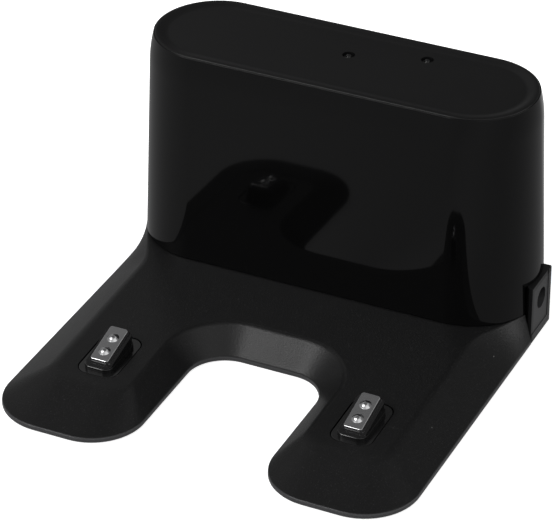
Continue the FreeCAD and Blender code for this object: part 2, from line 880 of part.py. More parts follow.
# Inlet block: square boss on the right end with the round supply opening
jack_bezel = add_body("jack_bezel", y=seam_place, z=lift)
block_sketch = add_sketch(jack_bezel, "bezel_block", z=plate_low)
cope_round = tower_half_depth - size("bezel_sink")
cope_front = size("bezel_width") / 2 - size("bezel_chamfer")
cope_rear = size("bezel_width") / 2
front_back = end_middle + (cope_round * cope_round - cope_front * cope_front).root()
rear_back = end_middle + (cope_round * cope_round - cope_rear * cope_rear).root()
trace(block_sketch, [
    (half_width, bezel_low),
    (half_width, bezel_high),
    (rear_back, bezel_high),
    (front_back, bezel_low + size("bezel_chamfer"), cope_round, -1),
    (front_back + size("bezel_chamfer"), bezel_low),
])
pad(jack_bezel, block_sketch, size("bezel_top") - plate_low)
corner_edges = []
for number, edge in enumerate(jack_bezel.Tip.Shape.Edges, 1):
    if edge.CenterOfMass.x > half_width.value - 0.01 and edge.CenterOfMass.z > plate_low.value + 0.01:
        corner_edges.append("Edge%d" % number)
soften(jack_bezel, corner_edges, size("bezel_round"), "bezel_softening")
tenon = add_sketch(jack_bezel, "bezel_tenon", y=tower_half_depth, z=plate_low)
rectangle(tenon, bezel_back, half_width - size("base_step"), -size("tenon_half"), size("tenon_half"))
pad(jack_bezel, tenon, tenon_top - plate_low)
panel = add_sketch(jack_bezel, "bezel_panel", "YZ_Plane", z=half_width)
rectangle(
    panel,
    bezel_low - 1.0,
    bezel_high - size("panel_margin"),
    plate_low + size("panel_foot"),
    size("bezel_top") + 1.0,
)
pocket(jack_bezel, panel, size("panel_sink"))
bore_sketch = add_sketch(jack_bezel, "inlet_bore", "YZ_Plane", z=half_width)
trace_circle(bore_sketch, bezel_middle, size("inlet_height"), size("inlet_radius"))
pocket(jack_bezel, bore_sketch, size("bezel_reach") + 1.0)

# Supply jack behind the block, with its pin
jack_half = size("inlet_height") - size("plateau_height") + size("jack_bed")
jack_front = bezel_back - size("bezel_fit")
dc_jack = add_body("dc_jack", x=jack_front - size("jack_length"), y=seam_place + bezel_middle, z=lift)
jack_sketch = add_sketch(dc_jack, "jack_case", "YZ_Plane")
rectangle(
    jack_sketch,
    -(size("jack_width") / 2),
    size("jack_width") / 2,
    size("inlet_height") - jack_half,
    size("inlet_height") + jack_half,
)
pad(dc_jack, jack_sketch, size("jack_length"))
jack_hole = add_sketch(dc_jack, "jack_hole", "YZ_Plane", z=size("jack_length"))
trace_circle(jack_hole, ZERO, size("inlet_height"), size("jack_bore"))
pocket(dc_jack, jack_hole, size("jack_bore_depth"))
jack_pin = add_body(
    "jack_pin",
    x=jack_front - size("jack_bore_depth"),
    y=seam_place + bezel_middle,
    z=lift + size("inlet_height"),
)
pin_sketch = trace_circle(add_sketch(jack_pin, "pin_round", "YZ_Plane"), ZERO, ZERO, size("pin_radius"))
pad(jack_pin, pin_sketch, size("jack_bore_depth") - size("pin_radius") / 2)

# Sprung contacts: carrier moulding, metal plate, spring, terminal strip and lead on each prong
ramp_stretch = Size(1.0, "1") / size("ramp_tilt").cosine()
pedestal_level = contact_floor + size("block_rise")
plate_level = pedestal_level + size("pedestal_rise") / size("ramp_tilt").cosine()
for hand, side in (("left", -1), ("right", 1)):
    place = dict(x=contact_x * side, y=seam_place + contact_y, z=lift)
    carrier = add_body("contact_carrier_" + hand, **place)
    neck_x = size("opening_width") / 2 - size("carrier_play")
    neck_y = size("opening_length") / 2 - size("carrier_play")
    neck_round = size("opening_corner") - size("carrier_play")
    low = add_sketch(carrier, "neck_low_" + hand, z=size("carrier_bottom"))
    rounded(low, neck_x, neck_y, neck_round, ZERO, size("opening_shift"))
    high = add_sketch(
        carrier, "neck_high_" + hand, z=contact_floor - size("carrier_sink"), tilt=size("plateau_tilt")
    )
    rounded(high, neck_x, neck_y, neck_round, ZERO, size("opening_shift"))
    loft(carrier, low, high)
    rim_x = neck_x + size("carrier_flange")
    rim_y = neck_y + size("carrier_flange")
    low = add_sketch(carrier, "rim_low_" + hand, z=size("carrier_bottom"))
    rounded(low, rim_x, rim_y, neck_round + size("carrier_flange"), ZERO, size("opening_shift"))
    high = add_sketch(
        carrier,
        "rim_high_" + hand,
        z=contact_floor - size("roof_wall") - size("flange_play"),
        tilt=size("plateau_tilt"),
    )
    rounded(high, rim_x, rim_y, neck_round + size("carrier_flange"), ZERO, size("opening_shift"))
    loft(carrier, low, high)
    block_x = size("block_width") / 2
    block_y = size("block_length") / 2
    low = add_sketch(carrier, "block_low_" + hand, z=contact_floor - 1.0, tilt=size("plateau_tilt"))
    rounded(low, block_x, block_y, size("block_corner"))
    high = add_sketch(carrier, "block_high_" + hand, z=pedestal_level, tilt=size("ramp_tilt"))
    rounded(high, block_x, block_y * ramp_stretch, size("block_corner"))
    loft(carrier, low, high)
    pedestal = add_sketch(carrier, "pedestal_" + hand, z=pedestal_level, tilt=size("ramp_tilt"))
    margin = size("pedestal_margin")
    rounded(
        pedestal,
        size("plate_width") / 2 + margin,
        size("plate_length") / 2 + margin,
        size("plate_corner") + margin,
        ZERO,
        size("plate_shift"),
    )
    pad(carrier, pedestal, size("pedestal_rise"))
    cup = add_sketch(carrier, "spring_cup_" + hand, z=size("carrier_bottom"))
    trace_circle(cup, ZERO, ZERO, size("spring_pocket"))
    pocket(carrier, cup, size("spring_seat") - size("carrier_bottom"))

    plate = add_body("contact_plate_" + hand, **place)
    sheet_sketch = add_sketch(plate, "plate_outline_" + hand, z=plate_level, tilt=size("ramp_tilt"))
    rounded(
        sheet_sketch,
        size("plate_width") / 2,
        size("plate_length") / 2,
        size("plate_corner"),
        ZERO,
        size("plate_shift"),
    )
    pad(plate, sheet_sketch, size("plate_thick"))
    dome_level = plate_level + size("plate_thick") / size("ramp_tilt").cosine()
    domes = add_sketch(plate, "domes_" + hand, z=dome_level, tilt=size("ramp_tilt"))
    trace_circle(domes, ZERO, size("dome_pitch") / 2, size("dome_radius"))
    trace_circle(domes, ZERO, -(size("dome_pitch") / 2), size("dome_radius"))
    pad(plate, domes, size("dome_rise"))
    tip = FreeCAD.Rotation(FreeCAD.Vector(1, 0, 0), size("ramp_tilt").value)
    normal = tip.multVec(FreeCAD.Vector(0, 0, 1))
    top = max(vertex.Point.dot(normal) for vertex in plate.Tip.Shape.Vertexes)
    crowns = []
    for number, edge in enumerate(plate.Tip.Shape.Edges, 1):
        if edge.Closed and abs(edge.CenterOfMass.dot(normal) - top) < 0.01:
            crowns.append("Edge%d" % number)
    soften(plate, crowns, size("dome_rise") * 0.92, "dome_round_" + hand)

    spring = add_body("contact_spring_" + hand, **place)
    wire = add_sketch(spring, "spring_wire_" + hand, "XZ_Plane")
    spring_low = floor_level + size("terminal_thick") + size("spring_wire") / 2
    trace_circle(wire, size("spring_radius"), spring_low, size("spring_wire") / 2)
    coil = spring.newObject("PartDesign::AdditiveHelix", "spring_coil_" + hand)
    coil.Profile = wire
    coil.ReferenceAxis = (wire, ["V_Axis"])
    coil.Mode = "height-turns-angle"
    coil_height = size("spring_seat") - size("spring_wire") / 2 - spring_low
    coil.setExpression("Height", coil_height.text)
    coil.setExpression("Turns", size("spring_turns").text)
    wire.Visibility = False
    doc.recompute()

    terminal = add_body("contact_terminal_" + hand, **place)
    strip = add_sketch(terminal, "terminal_strip_" + hand, z=floor_level)
    strip_half = size("terminal_width") / 2
    strip_back = size("terminal_length") - strip_half
    rectangle(strip, -strip_half, strip_half, -strip_half, strip_back)
    pad(terminal, strip, size("terminal_thick"))
    eye = add_sketch(terminal, "terminal_eye_" + hand, z=floor_level)
    trace_circle(eye, ZERO, ZERO, size("post_radius") + size("screw_fit"))
    pocket(terminal, eye, size("terminal_thick") * 2)

    lead_start = strip_back - 4.0
    lead_level = floor_level + size("terminal_thick") + size("lead_radius") + 0.05
    lead = add_body(
        "contact_lead_" + hand,
        x=contact_x * side,
        y=seam_place + contact_y + lead_start,
        z=lift,
    )
    round_wire = add_sketch(lead, "lead_round_" + hand, "XZ_Plane")
    trace_circle(round_wire, ZERO, lead_level, size("lead_radius"))
    spine = add_sketch(lead, "lead_run_" + hand, "YZ_Plane")
    board_back = size("board_set_back") + size("board_thick")
    run = board_back + size("lead_radius") + 0.1 - contact_y - lead_start
    bend = size("lead_bend")
    lead_top = size("board_lift") + size("board_height") / 3
    points = [
        (ZERO, lead_level),
        (run - bend, lead_level),
        (run, lead_level + bend),
        (run, lead_top),
    ]
    vectors = [FreeCAD.Vector(a.value, b.value, 0) for a, b in points]
    first = spine.addGeometry(Part.LineSegment(vectors[0], vectors[1]), False)
    middle = FreeCAD.Vector(vectors[1].x, vectors[2].y, 0)
    quarter = Part.ArcOfCircle(
        Part.Circle(middle, FreeCAD.Vector(0, 0, 1), bend.value), 1.5 * math.pi, 2 * math.pi
    )
    second = spine.addGeometry(quarter, False)
    third = spine.addGeometry(Part.LineSegment(vectors[2], vectors[3]), False)
    spine.addConstraint(Sketcher.Constraint("Coincident", first, 2, second, 1))
    spine.addConstraint(Sketcher.Constraint("Coincident", second, 2, third, 1))
    pin_point(spine, first, 1, *points[0])
    pin_point(spine, first, 2, *points[1])
    pin_point(spine, third, 1, *points[2])
    pin_point(spine, third, 2, *points[3])
    bind(spine, Sketcher.Constraint("Radius", second, bend.value), bend.text)
    sweep = lead.newObject("PartDesign::AdditivePipe", "lead_sweep_" + hand)
    sweep.Profile = round_wire
    sweep.Spine = spine
    round_wire.Visibility = False
    spine.Visibility = False
    doc.recompute()

# Control board standing behind the tower's front, with its bracket, lamps and lamp shade
board_front = size("board_set_back")
board_rear = board_front + size("board_thick")
control_board = add_body("control_board", y=seam_place, z=lift)
board_sketch = add_sketch(control_board, "board_outline", z=size("board_lift"))
board_half = tower_half_length - size("board_end_gap")
rectangle(board_sketch, -board_half, board_half, board_front, board_rear)
pad(control_board, board_sketch, size("board_height"))
fix_x = board_half - size("bracket_post") / 2
fix_low = size("board_lift") + 6.0
fix_high = size("board_lift") + size("board_height") - 5.0
board_holes = add_sketch(control_board, "board_holes", "XZ_Plane", z=-board_front)
for side in (1, -1):
    for level in (fix_low, fix_high):
        trace_circle(board_holes, fix_x * side, level, size("screw_radius") + size("screw_fit"))
pocket(control_board, board_holes, size("board_thick") * 2)
bracket = add_body("board_bracket", y=seam_place, z=lift)
bracket_back = board_rear + size("bracket_thick")
post_top = size("board_lift") + size("board_height")
for side, hand in ((1, "right"), (-1, "left")):
    edges = (board_half * side, (board_half - size("bracket_post")) * side)
    edges = sorted(edges, key=lambda item: item.value)
    upright = add_sketch(bracket, "bracket_post_" + hand, z=size("plateau_height"))
    rectangle(upright, edges[0], edges[1], board_rear, bracket_back)
    pad(bracket, upright, post_top - size("plateau_height"))
    if side == 1:
        bar = add_sketch(bracket, "bracket_bar", z=size("board_lift") + size("board_height") / 2)
        rectangle(bar, -board_half, board_half, board_rear + 1.0, bracket_back)
        pad(bracket, bar, size("board_height") / 6)
    base = add_sketch(bracket, "bracket_foot_" + hand, z=size("plateau_height"))
    rectangle(base, edges[0], edges[1], board_rear, board_rear + size("bracket_foot"))
    pad(bracket, base, size("bracket_thick"))
pilots = add_sketch(bracket, "bracket_pilots", "XZ_Plane", z=-board_rear)
for side in (1, -1):
    for level in (fix_low, fix_high):
        trace_circle(pilots, fix_x * side, level, thread_radius)
pocket(bracket, pilots, size("bracket_thick") * 2)
shade = add_body("lamp_shade", y=seam_place, z=lift)
shade_sketch = add_sketch(shade, "shade_outline", z=size("lamp_height") - size("shade_height") / 2)
shade_half = board_half - size("shade_end_gap")
rectangle(shade_sketch, -shade_half, shade_half, board_front - size("shade_depth"), board_front)
pad(shade, shade_sketch, size("shade_height"))
lamp_spots = [size("lamp_pitch") * step for step in (-1.5, -0.5, 0.5, 1.5)]
shade_holes = add_sketch(shade, "shade_holes", "XZ_Plane", z=size("shade_depth") - board_front)
for spot in lamp_spots:
    trace_circle(shade_holes, spot, size("lamp_height"), size("shade_bore"))
pocket(shade, shade_holes, size("shade_depth") * 2)
lamps = doc.addObject("Part::Compound", "signal_lamps")
members = []
for number, spot in enumerate(lamp_spots, 1):
    barrel = doc.addObject("Part::Cylinder", "lamp_barrel_%d" % number)
    barrel.setExpression("Radius", size("lamp_radius").text)
    barrel.setExpression("Height", size("lamp_length").text)
    dome = doc.addObject("Part::Sphere", "lamp_dome_%d" % number)
    dome.setExpression("Radius", size("lamp_radius").text)
    turn = FreeCAD.Rotation(FreeCAD.Vector(1, 0, 0), 90)
    barrel.Placement = FreeCAD.Placement(FreeCAD.Vector(0, 0, 0), turn)
    for piece, shift in ((barrel, ZERO), (dome, size("lamp_length"))):
        piece.setExpression("Placement.Base.x", spot.text)
        piece.setExpression("Placement.Base.y", (seam_place + board_front - shift).text)
        piece.setExpression("Placement.Base.z", (lift + size("lamp_height")).text)
    lamp = doc.addObject("Part::Fuse", "lamp_%d" % number)
    lamp.Base = barrel
    lamp.Tool = dome
    members.append(lamp)
lamps.Links = members

# Supply lead from the jack to the control board
supply = add_body("supply_lead", x=jack_front - size("jack_length"), y=seam_place + bezel_middle, z=lift)
supply_round = add_sketch(supply, "supply_round", "YZ_Plane")
trace_circle(supply_round, ZERO, size("inlet_height"), size("lead_radius") * 1.5)
supply_spine = add_sketch(supply, "supply_run", z=size("inlet_height"))
supply_end = board_half - size("bracket_post") - size("supply_clear")
supply_reach = jack_front - size("jack_length") - supply_end
supply_bend = size("lead_bend")
supply_drop = bezel_middle - board_rear - 0.1
points = [
    (ZERO, ZERO),
    (-(supply_reach - supply_bend), ZERO),
    (-supply_reach, -supply_bend),
    (-supply_reach, -supply_drop),
]
vectors = [FreeCAD.Vector(a.value, b.value, 0) for a, b in points]
first = supply_spine.addGeometry(Part.LineSegment(vectors[0], vectors[1]), False)
middle = FreeCAD.Vector(vectors[1].x, vectors[2].y, 0)
quarter = Part.ArcOfCircle(
    Part.Circle(middle, FreeCAD.Vector(0, 0, 1), supply_bend.value), 0.5 * math.pi, math.pi
)
second = supply_spine.addGeometry(quarter, False)
third = supply_spine.addGeometry(Part.LineSegment(vectors[2], vectors[3]), False)
supply_spine.addConstraint(Sketcher.Constraint("Coincident", first, 2, second, 1))
supply_spine.addConstraint(Sketcher.Constraint("Coincident", second, 2, third, 1))
supply_spine.addConstraint(Sketcher.Constraint("Coincident", first, 1, -1, 1))
pin_point(supply_spine, first, 2, *points[1])
pin_point(supply_spine, third, 1, *points[2])
pin_point(supply_spine, third, 2, *points[3])
bind(supply_spine, Sketcher.Constraint("Radius", second, supply_bend.value), supply_bend.text)
supply_sweep = supply.newObject("PartDesign::AdditivePipe", "supply_sweep")
supply_sweep.Profile = supply_round
supply_sweep.Spine = supply_spine
supply_round.Visibility = False
supply_spine.Visibility = False
doc.recompute()


def screw(name, x, y, z, length, axis, angle):
    """Pan-head screw: the place is the seat of its head and the shank runs along +Z before the turn."""
    shank = doc.addObject("Part::Cylinder", name + "_shank")
    shank.setExpression("Radius", size("screw_radius").text)
    shank.setExpression("Height", length.text)
    head = doc.addObject("Part::Cylinder", name + "_head")
    head.setExpression("Radius", size("screw_head_radius").text)
    head.setExpression("Height", size("screw_head_height").text)
    head.setExpression("Placement.Base.z", (-size("screw_head_height")).text)
    whole = doc.addObject("Part::Fuse", name + "_whole")
    whole.Base = shank
    whole.Tool = head
    socket = doc.addObject("Part::Box", name + "_socket")
    for edge in ("Length", "Width"):
        socket.setExpression(edge, (size("screw_cross") * 2).text)
    socket.setExpression("Height", size("screw_cross").text)
    for direction in ("x", "y"):
        socket.setExpression("Placement.Base." + direction, (-size("screw_cross")).text)
    socket.setExpression("Placement.Base.z", (-size("screw_head_height")).text)
    body = doc.addObject("Part::Cut", name)
    body.Base = whole
    body.Tool = socket
    body.Placement = FreeCAD.Placement(FreeCAD.Vector(0, 0, 0), FreeCAD.Rotation(axis, angle))
    for direction, shift in (("x", x), ("y", y), ("z", z)):
        body.setExpression("Placement.Base." + direction, shift.text)
    return body


upright = FreeCAD.Vector(0, 0, 1)
across = FreeCAD.Vector(1, 0, 0)
groups = {"base_screws": [], "tower_screws": [], "board_screws": []}
for side in (1, -1):
    tag = "right" if side == 1 else "left"
    for end, place in (("front", boss_front), ("rear", boss_rear)):
        seat_level = lift + plate_low + sink_depth
        groups["base_screws"].append(
            screw(
                "base_screw_%s_%s" % (end, tag),
                boss_side * side,
                seam_place + place,
                seat_level,
                size("screw_length"),
                upright,
                0,
            )
        )
    for end, face in (("front", -1), ("rear", 1)):
        groups["tower_screws"].append(
            screw(
                "tower_screw_%s_%s" % (end, tag),
                fixing_x * side,
                tower_place + (tower_half_depth - fixing_inset) * face,
                lift + roof_height,
                size("screw_length"),
                upright,
                0,
            )
        )
    for end, level in (("low", fix_low), ("high", fix_high)):
        groups["board_screws"].append(
            screw(
                "board_screw_%s_%s" % (end, tag),
                fix_x * side,
                seam_place + board_front,
                lift + level,
                size("board_thick") + size("bracket_thick"),
                across,
                -90,
            )
        )
for name, members in groups.items():
    group = doc.addObject("Part::Compound", name)
    group.Links = members

doc.recompute()

NODES = [
    "base_cover", "base_plate", "tower_shell", "top_cap", "jack_bezel", "dc_jack", "jack_pin",
    "contact_carrier_left", "contact_carrier_right", "contact_plate_left", "contact_plate_right",
    "contact_spring_left", "contact_spring_right", "contact_terminal_left", "contact_terminal_right",
    "contact_lead_left", "contact_lead_right", "supply_lead", "control_board", "board_bracket",
    "lamp_shade", "signal_lamps", "light_pipes", "indicator_board", "base_screws", "tower_screws",
    "board_screws", "foot_front_left", "foot_front_right", "foot_rear_left", "foot_rear_right",
]
for thing in doc.Objects:
    if "Invalid" in thing.State or "Error" in thing.State:
        raise RuntimeError("%s did not build" % thing.Name)
os.makedirs("parts", exist_ok=True)
for name in NODES:
    piece = doc.getObject(name)
    piece.Label = name
    shape = piece.Shape
    if shape.isNull() or not shape.isValid():
        raise RuntimeError("%s has no sound shape" % name)
    shape.exportStep("parts/%s.step" % name)
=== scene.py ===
import json
import math

import bmesh
import bpy
from mathutils import Matrix, Vector

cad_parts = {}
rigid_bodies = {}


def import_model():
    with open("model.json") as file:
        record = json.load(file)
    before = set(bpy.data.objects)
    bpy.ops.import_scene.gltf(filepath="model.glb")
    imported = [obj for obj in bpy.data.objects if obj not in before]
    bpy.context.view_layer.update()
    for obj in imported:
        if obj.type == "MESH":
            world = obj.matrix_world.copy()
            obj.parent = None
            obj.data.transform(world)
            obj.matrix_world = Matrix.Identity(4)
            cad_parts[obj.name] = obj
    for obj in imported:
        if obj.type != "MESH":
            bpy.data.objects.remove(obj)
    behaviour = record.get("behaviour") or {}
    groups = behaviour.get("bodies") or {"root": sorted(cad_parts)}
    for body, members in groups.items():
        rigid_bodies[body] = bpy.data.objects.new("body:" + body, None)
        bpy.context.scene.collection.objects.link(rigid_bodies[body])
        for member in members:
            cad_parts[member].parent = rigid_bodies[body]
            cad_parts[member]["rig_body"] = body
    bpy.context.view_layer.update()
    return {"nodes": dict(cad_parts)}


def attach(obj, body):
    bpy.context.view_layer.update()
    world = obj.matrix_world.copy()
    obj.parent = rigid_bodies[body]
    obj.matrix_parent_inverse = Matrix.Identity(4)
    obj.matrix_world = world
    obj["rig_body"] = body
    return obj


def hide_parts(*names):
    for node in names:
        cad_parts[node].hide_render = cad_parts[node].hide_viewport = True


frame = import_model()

MM = 0.001
scene = bpy.context.scene

BLACK = (0.0, 0.0, 0.0)
WHITE = (1.0, 1.0, 1.0)


# Node wiring: one wrapped socket with arithmetic, and one way to add any other node
def feed(socket, value):
    """Links a wire into a socket or sets a plain value there; a colour of three gets full alpha."""
    if isinstance(value, Wire):
        value.tree.links.new(value.socket, socket)
    elif socket.type == "RGBA":
        socket.default_value = tuple(value) + (1.0,) * (4 - len(value))
    else:
        socket.default_value = value


class Wire:
    """One output socket that can be reckoned with like a number."""

    def __init__(self, tree, socket):
        self.tree = tree
        self.socket = socket

    def combined(self, operation, *values):
        node = self.tree.nodes.new("ShaderNodeMath")
        node.operation = operation
        for socket, value in zip(node.inputs, values):
            feed(socket, value)
        return Wire(self.tree, node.outputs[0])

    def math(self, operation, *others):
        return self.combined(operation, self, *others)

    def __add__(self, other):
        return self.math("ADD", other)

    def __radd__(self, other):
        return self.math("ADD", other)

    def __sub__(self, other):
        return self.math("SUBTRACT", other)

    def __rsub__(self, other):
        return self.combined("SUBTRACT", other, self)

    def __mul__(self, other):
        return self.math("MULTIPLY", other)

    def __rmul__(self, other):
        return self.math("MULTIPLY", other)

    def __truediv__(self, other):
        return self.math("DIVIDE", other)

    def __rtruediv__(self, other):
        return self.combined("DIVIDE", other, self)

    def ramp(self, low, high):
        """Smooth step from 0 below low to 1 above high."""
        node = self.tree.nodes.new("ShaderNodeMapRange")
        node.interpolation_type = "SMOOTHSTEP"
        feed(node.inputs["Value"], self)
        feed(node.inputs["From Min"], low)
        feed(node.inputs["From Max"], high)
        return Wire(self.tree, node.outputs["Result"])


class Wiring:
    """Adds nodes of any kind to a node tree: type, output, inputs."""

    def __init__(self, tree):
        self.tree = tree

    def add(self, kind, out=0, **inputs):
        node = self.tree.nodes.new(kind)
        for key, value in inputs.items():
            feed(node.inputs[key.replace("_", " ")], value)
        return Wire(self.tree, node.outputs[out])

    def part(self, letter, vector):
        """One of the X, Y and Z parts of a vector."""
        return self.add("ShaderNodeSeparateXYZ", letter, Vector=vector)

    def mix(self, amount, low, high):
        """Colour between low and high."""
        node = self.tree.nodes.new("ShaderNodeMix")
        node.data_type = "RGBA"
        for key, value in ((0, amount), (6, low), (7, high)):
            feed(node.inputs[key], value)
        return Wire(self.tree, node.outputs[2])


class Finish(Wiring):
    """One node material with its surface shader."""

    def __init__(self, name):
        self.material = bpy.data.materials.new(name)
        self.material.use_nodes = True
        super().__init__(self.material.node_tree)
        self.tree.nodes.clear()
        self.surface = self.tree.nodes.new("ShaderNodeBsdfPrincipled")
        out = self.tree.nodes.new("ShaderNodeOutputMaterial")
        self.tree.links.new(self.surface.outputs["BSDF"], out.inputs["Surface"])
        self.place = self.add("ShaderNodeTexCoord", "Object")

    def noise(self, grain, detail=2.0, rough=0.5, at=None):
        """Noise with features about grain metres wide."""
        return self.add(
            "ShaderNodeTexNoise", "Fac",
            Vector=at or self.place, Scale=1.0 / grain, Detail=detail, Roughness=rough,
        )

    def cells(self, grain):
        """Distance to the middle of cells about grain metres wide."""
        return self.add("ShaderNodeTexVoronoi", "Distance", Vector=self.place, Scale=1.0 / grain)

    def motes(self, spacing, size, patch, cover):
        """Scattered specks of dust: one to a cell, only where the wider noise is high."""
        return (1.0 - self.cells(spacing).ramp(*size)) * self.noise(patch).ramp(*cover)

    def stretched(self, x, y, z):
        """Place scaled along each axis, for marks that run one way."""
        return self.add("ShaderNodeMapping", "Vector", Vector=self.place, Scale=(x, y, z))

    def bump(self, height, depth):
        """Bump from a 0-1 height, depth in metres."""
        return self.add("ShaderNodeBump", "Normal", Height=height, Distance=depth)

    def set(self, **values):
        for key, value in values.items():
            feed(self.surface.inputs[key.replace("_", " ")], value)


# Finishes: lengths in metres
CLOUD_WIDTH = 0.025
SCUFF_WIDTH = 0.0016
SCUFF_PATCH = 0.02
WIPE_WIDTH = 0.03
SURFACE_WAVE = 0.0025
WAVE_DEPTH = 0.0000002
PLATING_PATCH = 0.004
# Pale grey of dust and scuffs, and of the painted glints of the grain
PALE_DUST_AND_GLINTS = (0.5, 0.5, 0.5)
GREY_DUST = (0.4, 0.4, 0.4)
# Heights where the painted light along the foot of the rim fades out
RIM_TONE_END = (0.0019, 0.0024)
# Mask ends and depth of the painted shade on the inlet block's front side and top
INLET_FRONT = (0.0423, 0.0426)
INLET_TOP = (0.0209, 0.0212)
INLET_PAINTED_SHADE = 0.22


def grey(level):
    """Slightly cool grey."""
    return (level, level, level * 1.03)


def textured(
    name, level, rough, grain, depth,
    painted_sparkle=0.03, dust=0.02, wear=0.004, specular=0.5, rim_painted_light=0.0, painted_shade=None,
):
    """Matt moulding: fine spark-eroded grain with pale flecks painted in as glints, a little dust, faint
    scuffs.
    """
    f = Finish(name)
    fine = f.noise(grain, 3.0, 0.65)
    pits = f.cells(grain * 1.6)
    clouds = f.noise(CLOUD_WIDTH, 3.0)
    # Painted glints: pale flecks painted into the colour stand in for the sparkle of the grain
    painted_glints = f.noise(grain * 0.9, 1.0).ramp(0.62, 0.82) * painted_sparkle
    motes = f.motes(0.0042, (0.03, 0.05), 0.011, (0.56, 0.66)) * dust
    scuffs = f.noise(SCUFF_WIDTH, at=f.stretched(0.16, 1.0, 0.3)).ramp(0.66, 0.78)
    rubbed = scuffs * f.noise(SCUFF_PATCH).ramp(0.45, 0.65) * wear
    tone = f.mix(clouds, grey(level * 0.9), grey(level * 1.1))
    # Painted shade: where the mask is high the tone is painted much darker
    if painted_shade:
        tone = f.mix(painted_shade(f), tone, grey(level * INLET_PAINTED_SHADE))
    # Painted light: the foot of the rim, below about 2 mm, is painted a much lighter grey
    if rim_painted_light:
        low = (1.0 - f.part("Z", f.place).ramp(*RIM_TONE_END)) * (0.75 + clouds * 0.5)
        tone = f.mix(low, tone, grey(rim_painted_light))
    tone = f.mix(painted_glints + motes + rubbed, tone, PALE_DUST_AND_GLINTS)
    f.set(
        Base_Color=tone,
        Roughness=rough + (clouds - 0.5) * 0.05 + (fine - 0.5) * 0.12 - rubbed * 0.3,
        Specular_IOR_Level=specular,
        Normal=f.bump(fine * 0.6 + pits * 0.4, depth),
    )
    return f.material


def glossy(name, level, rough, specular=0.5, haze=0.01, dust=0.004):
    """Polished moulding: clean mirror, faint wiping haze and a few motes."""
    f = Finish(name)
    wipes = f.noise(WIPE_WIDTH, 3.0, 0.6, f.stretched(1.0, 1.0, 0.35))
    motes = f.motes(0.005, (0.02, 0.035), 0.013, (0.58, 0.66)) * dust
    f.set(
        Base_Color=f.mix(motes, grey(level), GREY_DUST),
        Roughness=rough + wipes * haze + motes * 0.3,
        Specular_IOR_Level=specular,
        Normal=f.bump(f.noise(SURFACE_WAVE), WAVE_DEPTH),
    )
    return f.material


def metal(name, tone, rough, grain=0.0003, depth=0.000004):
    """Plated or drawn metal with fine marks and slightly dull patches."""
    f = Finish(name)
    patch = f.noise(PLATING_PATCH)
    fine = f.noise(grain)
    dull = tuple(part * 0.93 for part in tone)
    f.set(
        Base_Color=f.mix(patch, dull, tone),
        Metallic=1.0,
        Roughness=rough + (patch - 0.5) * 0.05 + (fine - 0.5) * 0.08,
        Normal=f.bump(fine, depth),
    )
    return f.material


def inlet_painted_shade(f):
    """Painted shade: the inlet block's front side and top are painted darker; its outer face keeps the
    lighter tone as painted light.
    """
    along = f.part("Y", f.place).ramp(*INLET_FRONT)
    below = 1.0 - f.part("Z", f.place).ramp(*INLET_TOP)
    return 1.0 - along * below


finishes = {
    # The cover's rim foot carries painted light, a lighter band along its lowest 2 mm
    "cover_plastic": textured(
        "cover_moulding", level=0.0048, rough=0.37, grain=0.0004, depth=0.00008,
        painted_sparkle=0.055, dust=0.6, wear=0.006, specular=0.2, rim_painted_light=0.055,
    ),
    "plate_plastic": textured(
        "floor_plate_moulding", level=0.014, rough=0.55, grain=0.0005, depth=0.00003,
    ),
    "tower_plastic": glossy("tower_gloss", level=0.0022, rough=0.045, specular=0.205),
    "cap_plastic": textured(
        "cap_moulding", level=0.0046, rough=0.32, grain=0.0003, depth=0.00001,
        painted_sparkle=0.008, dust=0.1, wear=0.002, specular=0.15,
    ),
    # The inlet block's outer face is painted lighter as painted light; its front side and top carry
    # painted shade
    "bezel_plastic": textured(
        "bezel_moulding", level=0.032, rough=0.36, grain=0.0003, depth=0.000012,
        painted_sparkle=0.02, dust=0.05, wear=0.01, specular=0.25, painted_shade=inlet_painted_shade,
    ),
    "jack_plastic": textured(
        "jack_moulding", level=0.005, rough=0.4, grain=0.0003, depth=0.00001, specular=0.25,
    ),
    "carrier_plastic": glossy(
        "carrier_gloss", level=0.0045, rough=0.16, specular=0.4, haze=0.05, dust=0.05,
    ),
    "board_laminate": textured(
        "board_laminate", level=0.03, rough=0.4, grain=0.0004, depth=0.000006,
    ),
    "inner_plastic": textured(
        "inner_moulding", level=0.024, rough=0.5, grain=0.0004, depth=0.00001,
    ),
    "lamp_resin": glossy("lamp_resin", level=0.5, rough=0.2),
    "pipe_resin": glossy("pipe_resin", level=0.004, rough=0.1, specular=0.3),
    "lead_sheath": glossy("lead_sheath", level=0.03, rough=0.35),
    "foot_rubber": textured(
        "foot_rubber", level=0.02, rough=0.75, grain=0.0007, depth=0.00004, specular=0.3,
    ),
    "pin_metal": metal("pin_plating", (0.66, 0.67, 0.68), rough=0.22),
    "contact_metal": metal(
        "contact_plating", (0.42, 0.42, 0.425), rough=0.2, grain=0.0002, depth=0.000002,
    ),
    "spring_steel": metal("spring_wire", (0.52, 0.52, 0.53), rough=0.3),
    "terminal_brass": metal("terminal_brass", (0.68, 0.48, 0.19), rough=0.28),
    "screw_steel": metal("screw_steel", (0.38, 0.38, 0.39), rough=0.32),
}


# Forms and pieces: what every piece below is made with
MERGE_GAP = 2e-6
SLIVER = 1e-6
FLAT = math.radians(0.15)
CRISP = math.radians(30.0)
SHARP = math.radians(28.0)
EASE_ROWS = 2
NORMAL_WEIGHT = 90


def body_of_node(node):
    return frame["nodes"][node]["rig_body"]


def slot_of_node(node):
    return frame["nodes"][node].data.materials[0].name


def faced_out(form):
    """Form with all its faces turned outwards."""
    bmesh.ops.recalc_face_normals(form, faces=form.faces)
    return form


def mesh_of(name, form):
    """Mesh with the form's faces; the form is used up."""
    mesh = bpy.data.meshes.new(name)
    form.to_mesh(mesh)
    form.free()
    return mesh


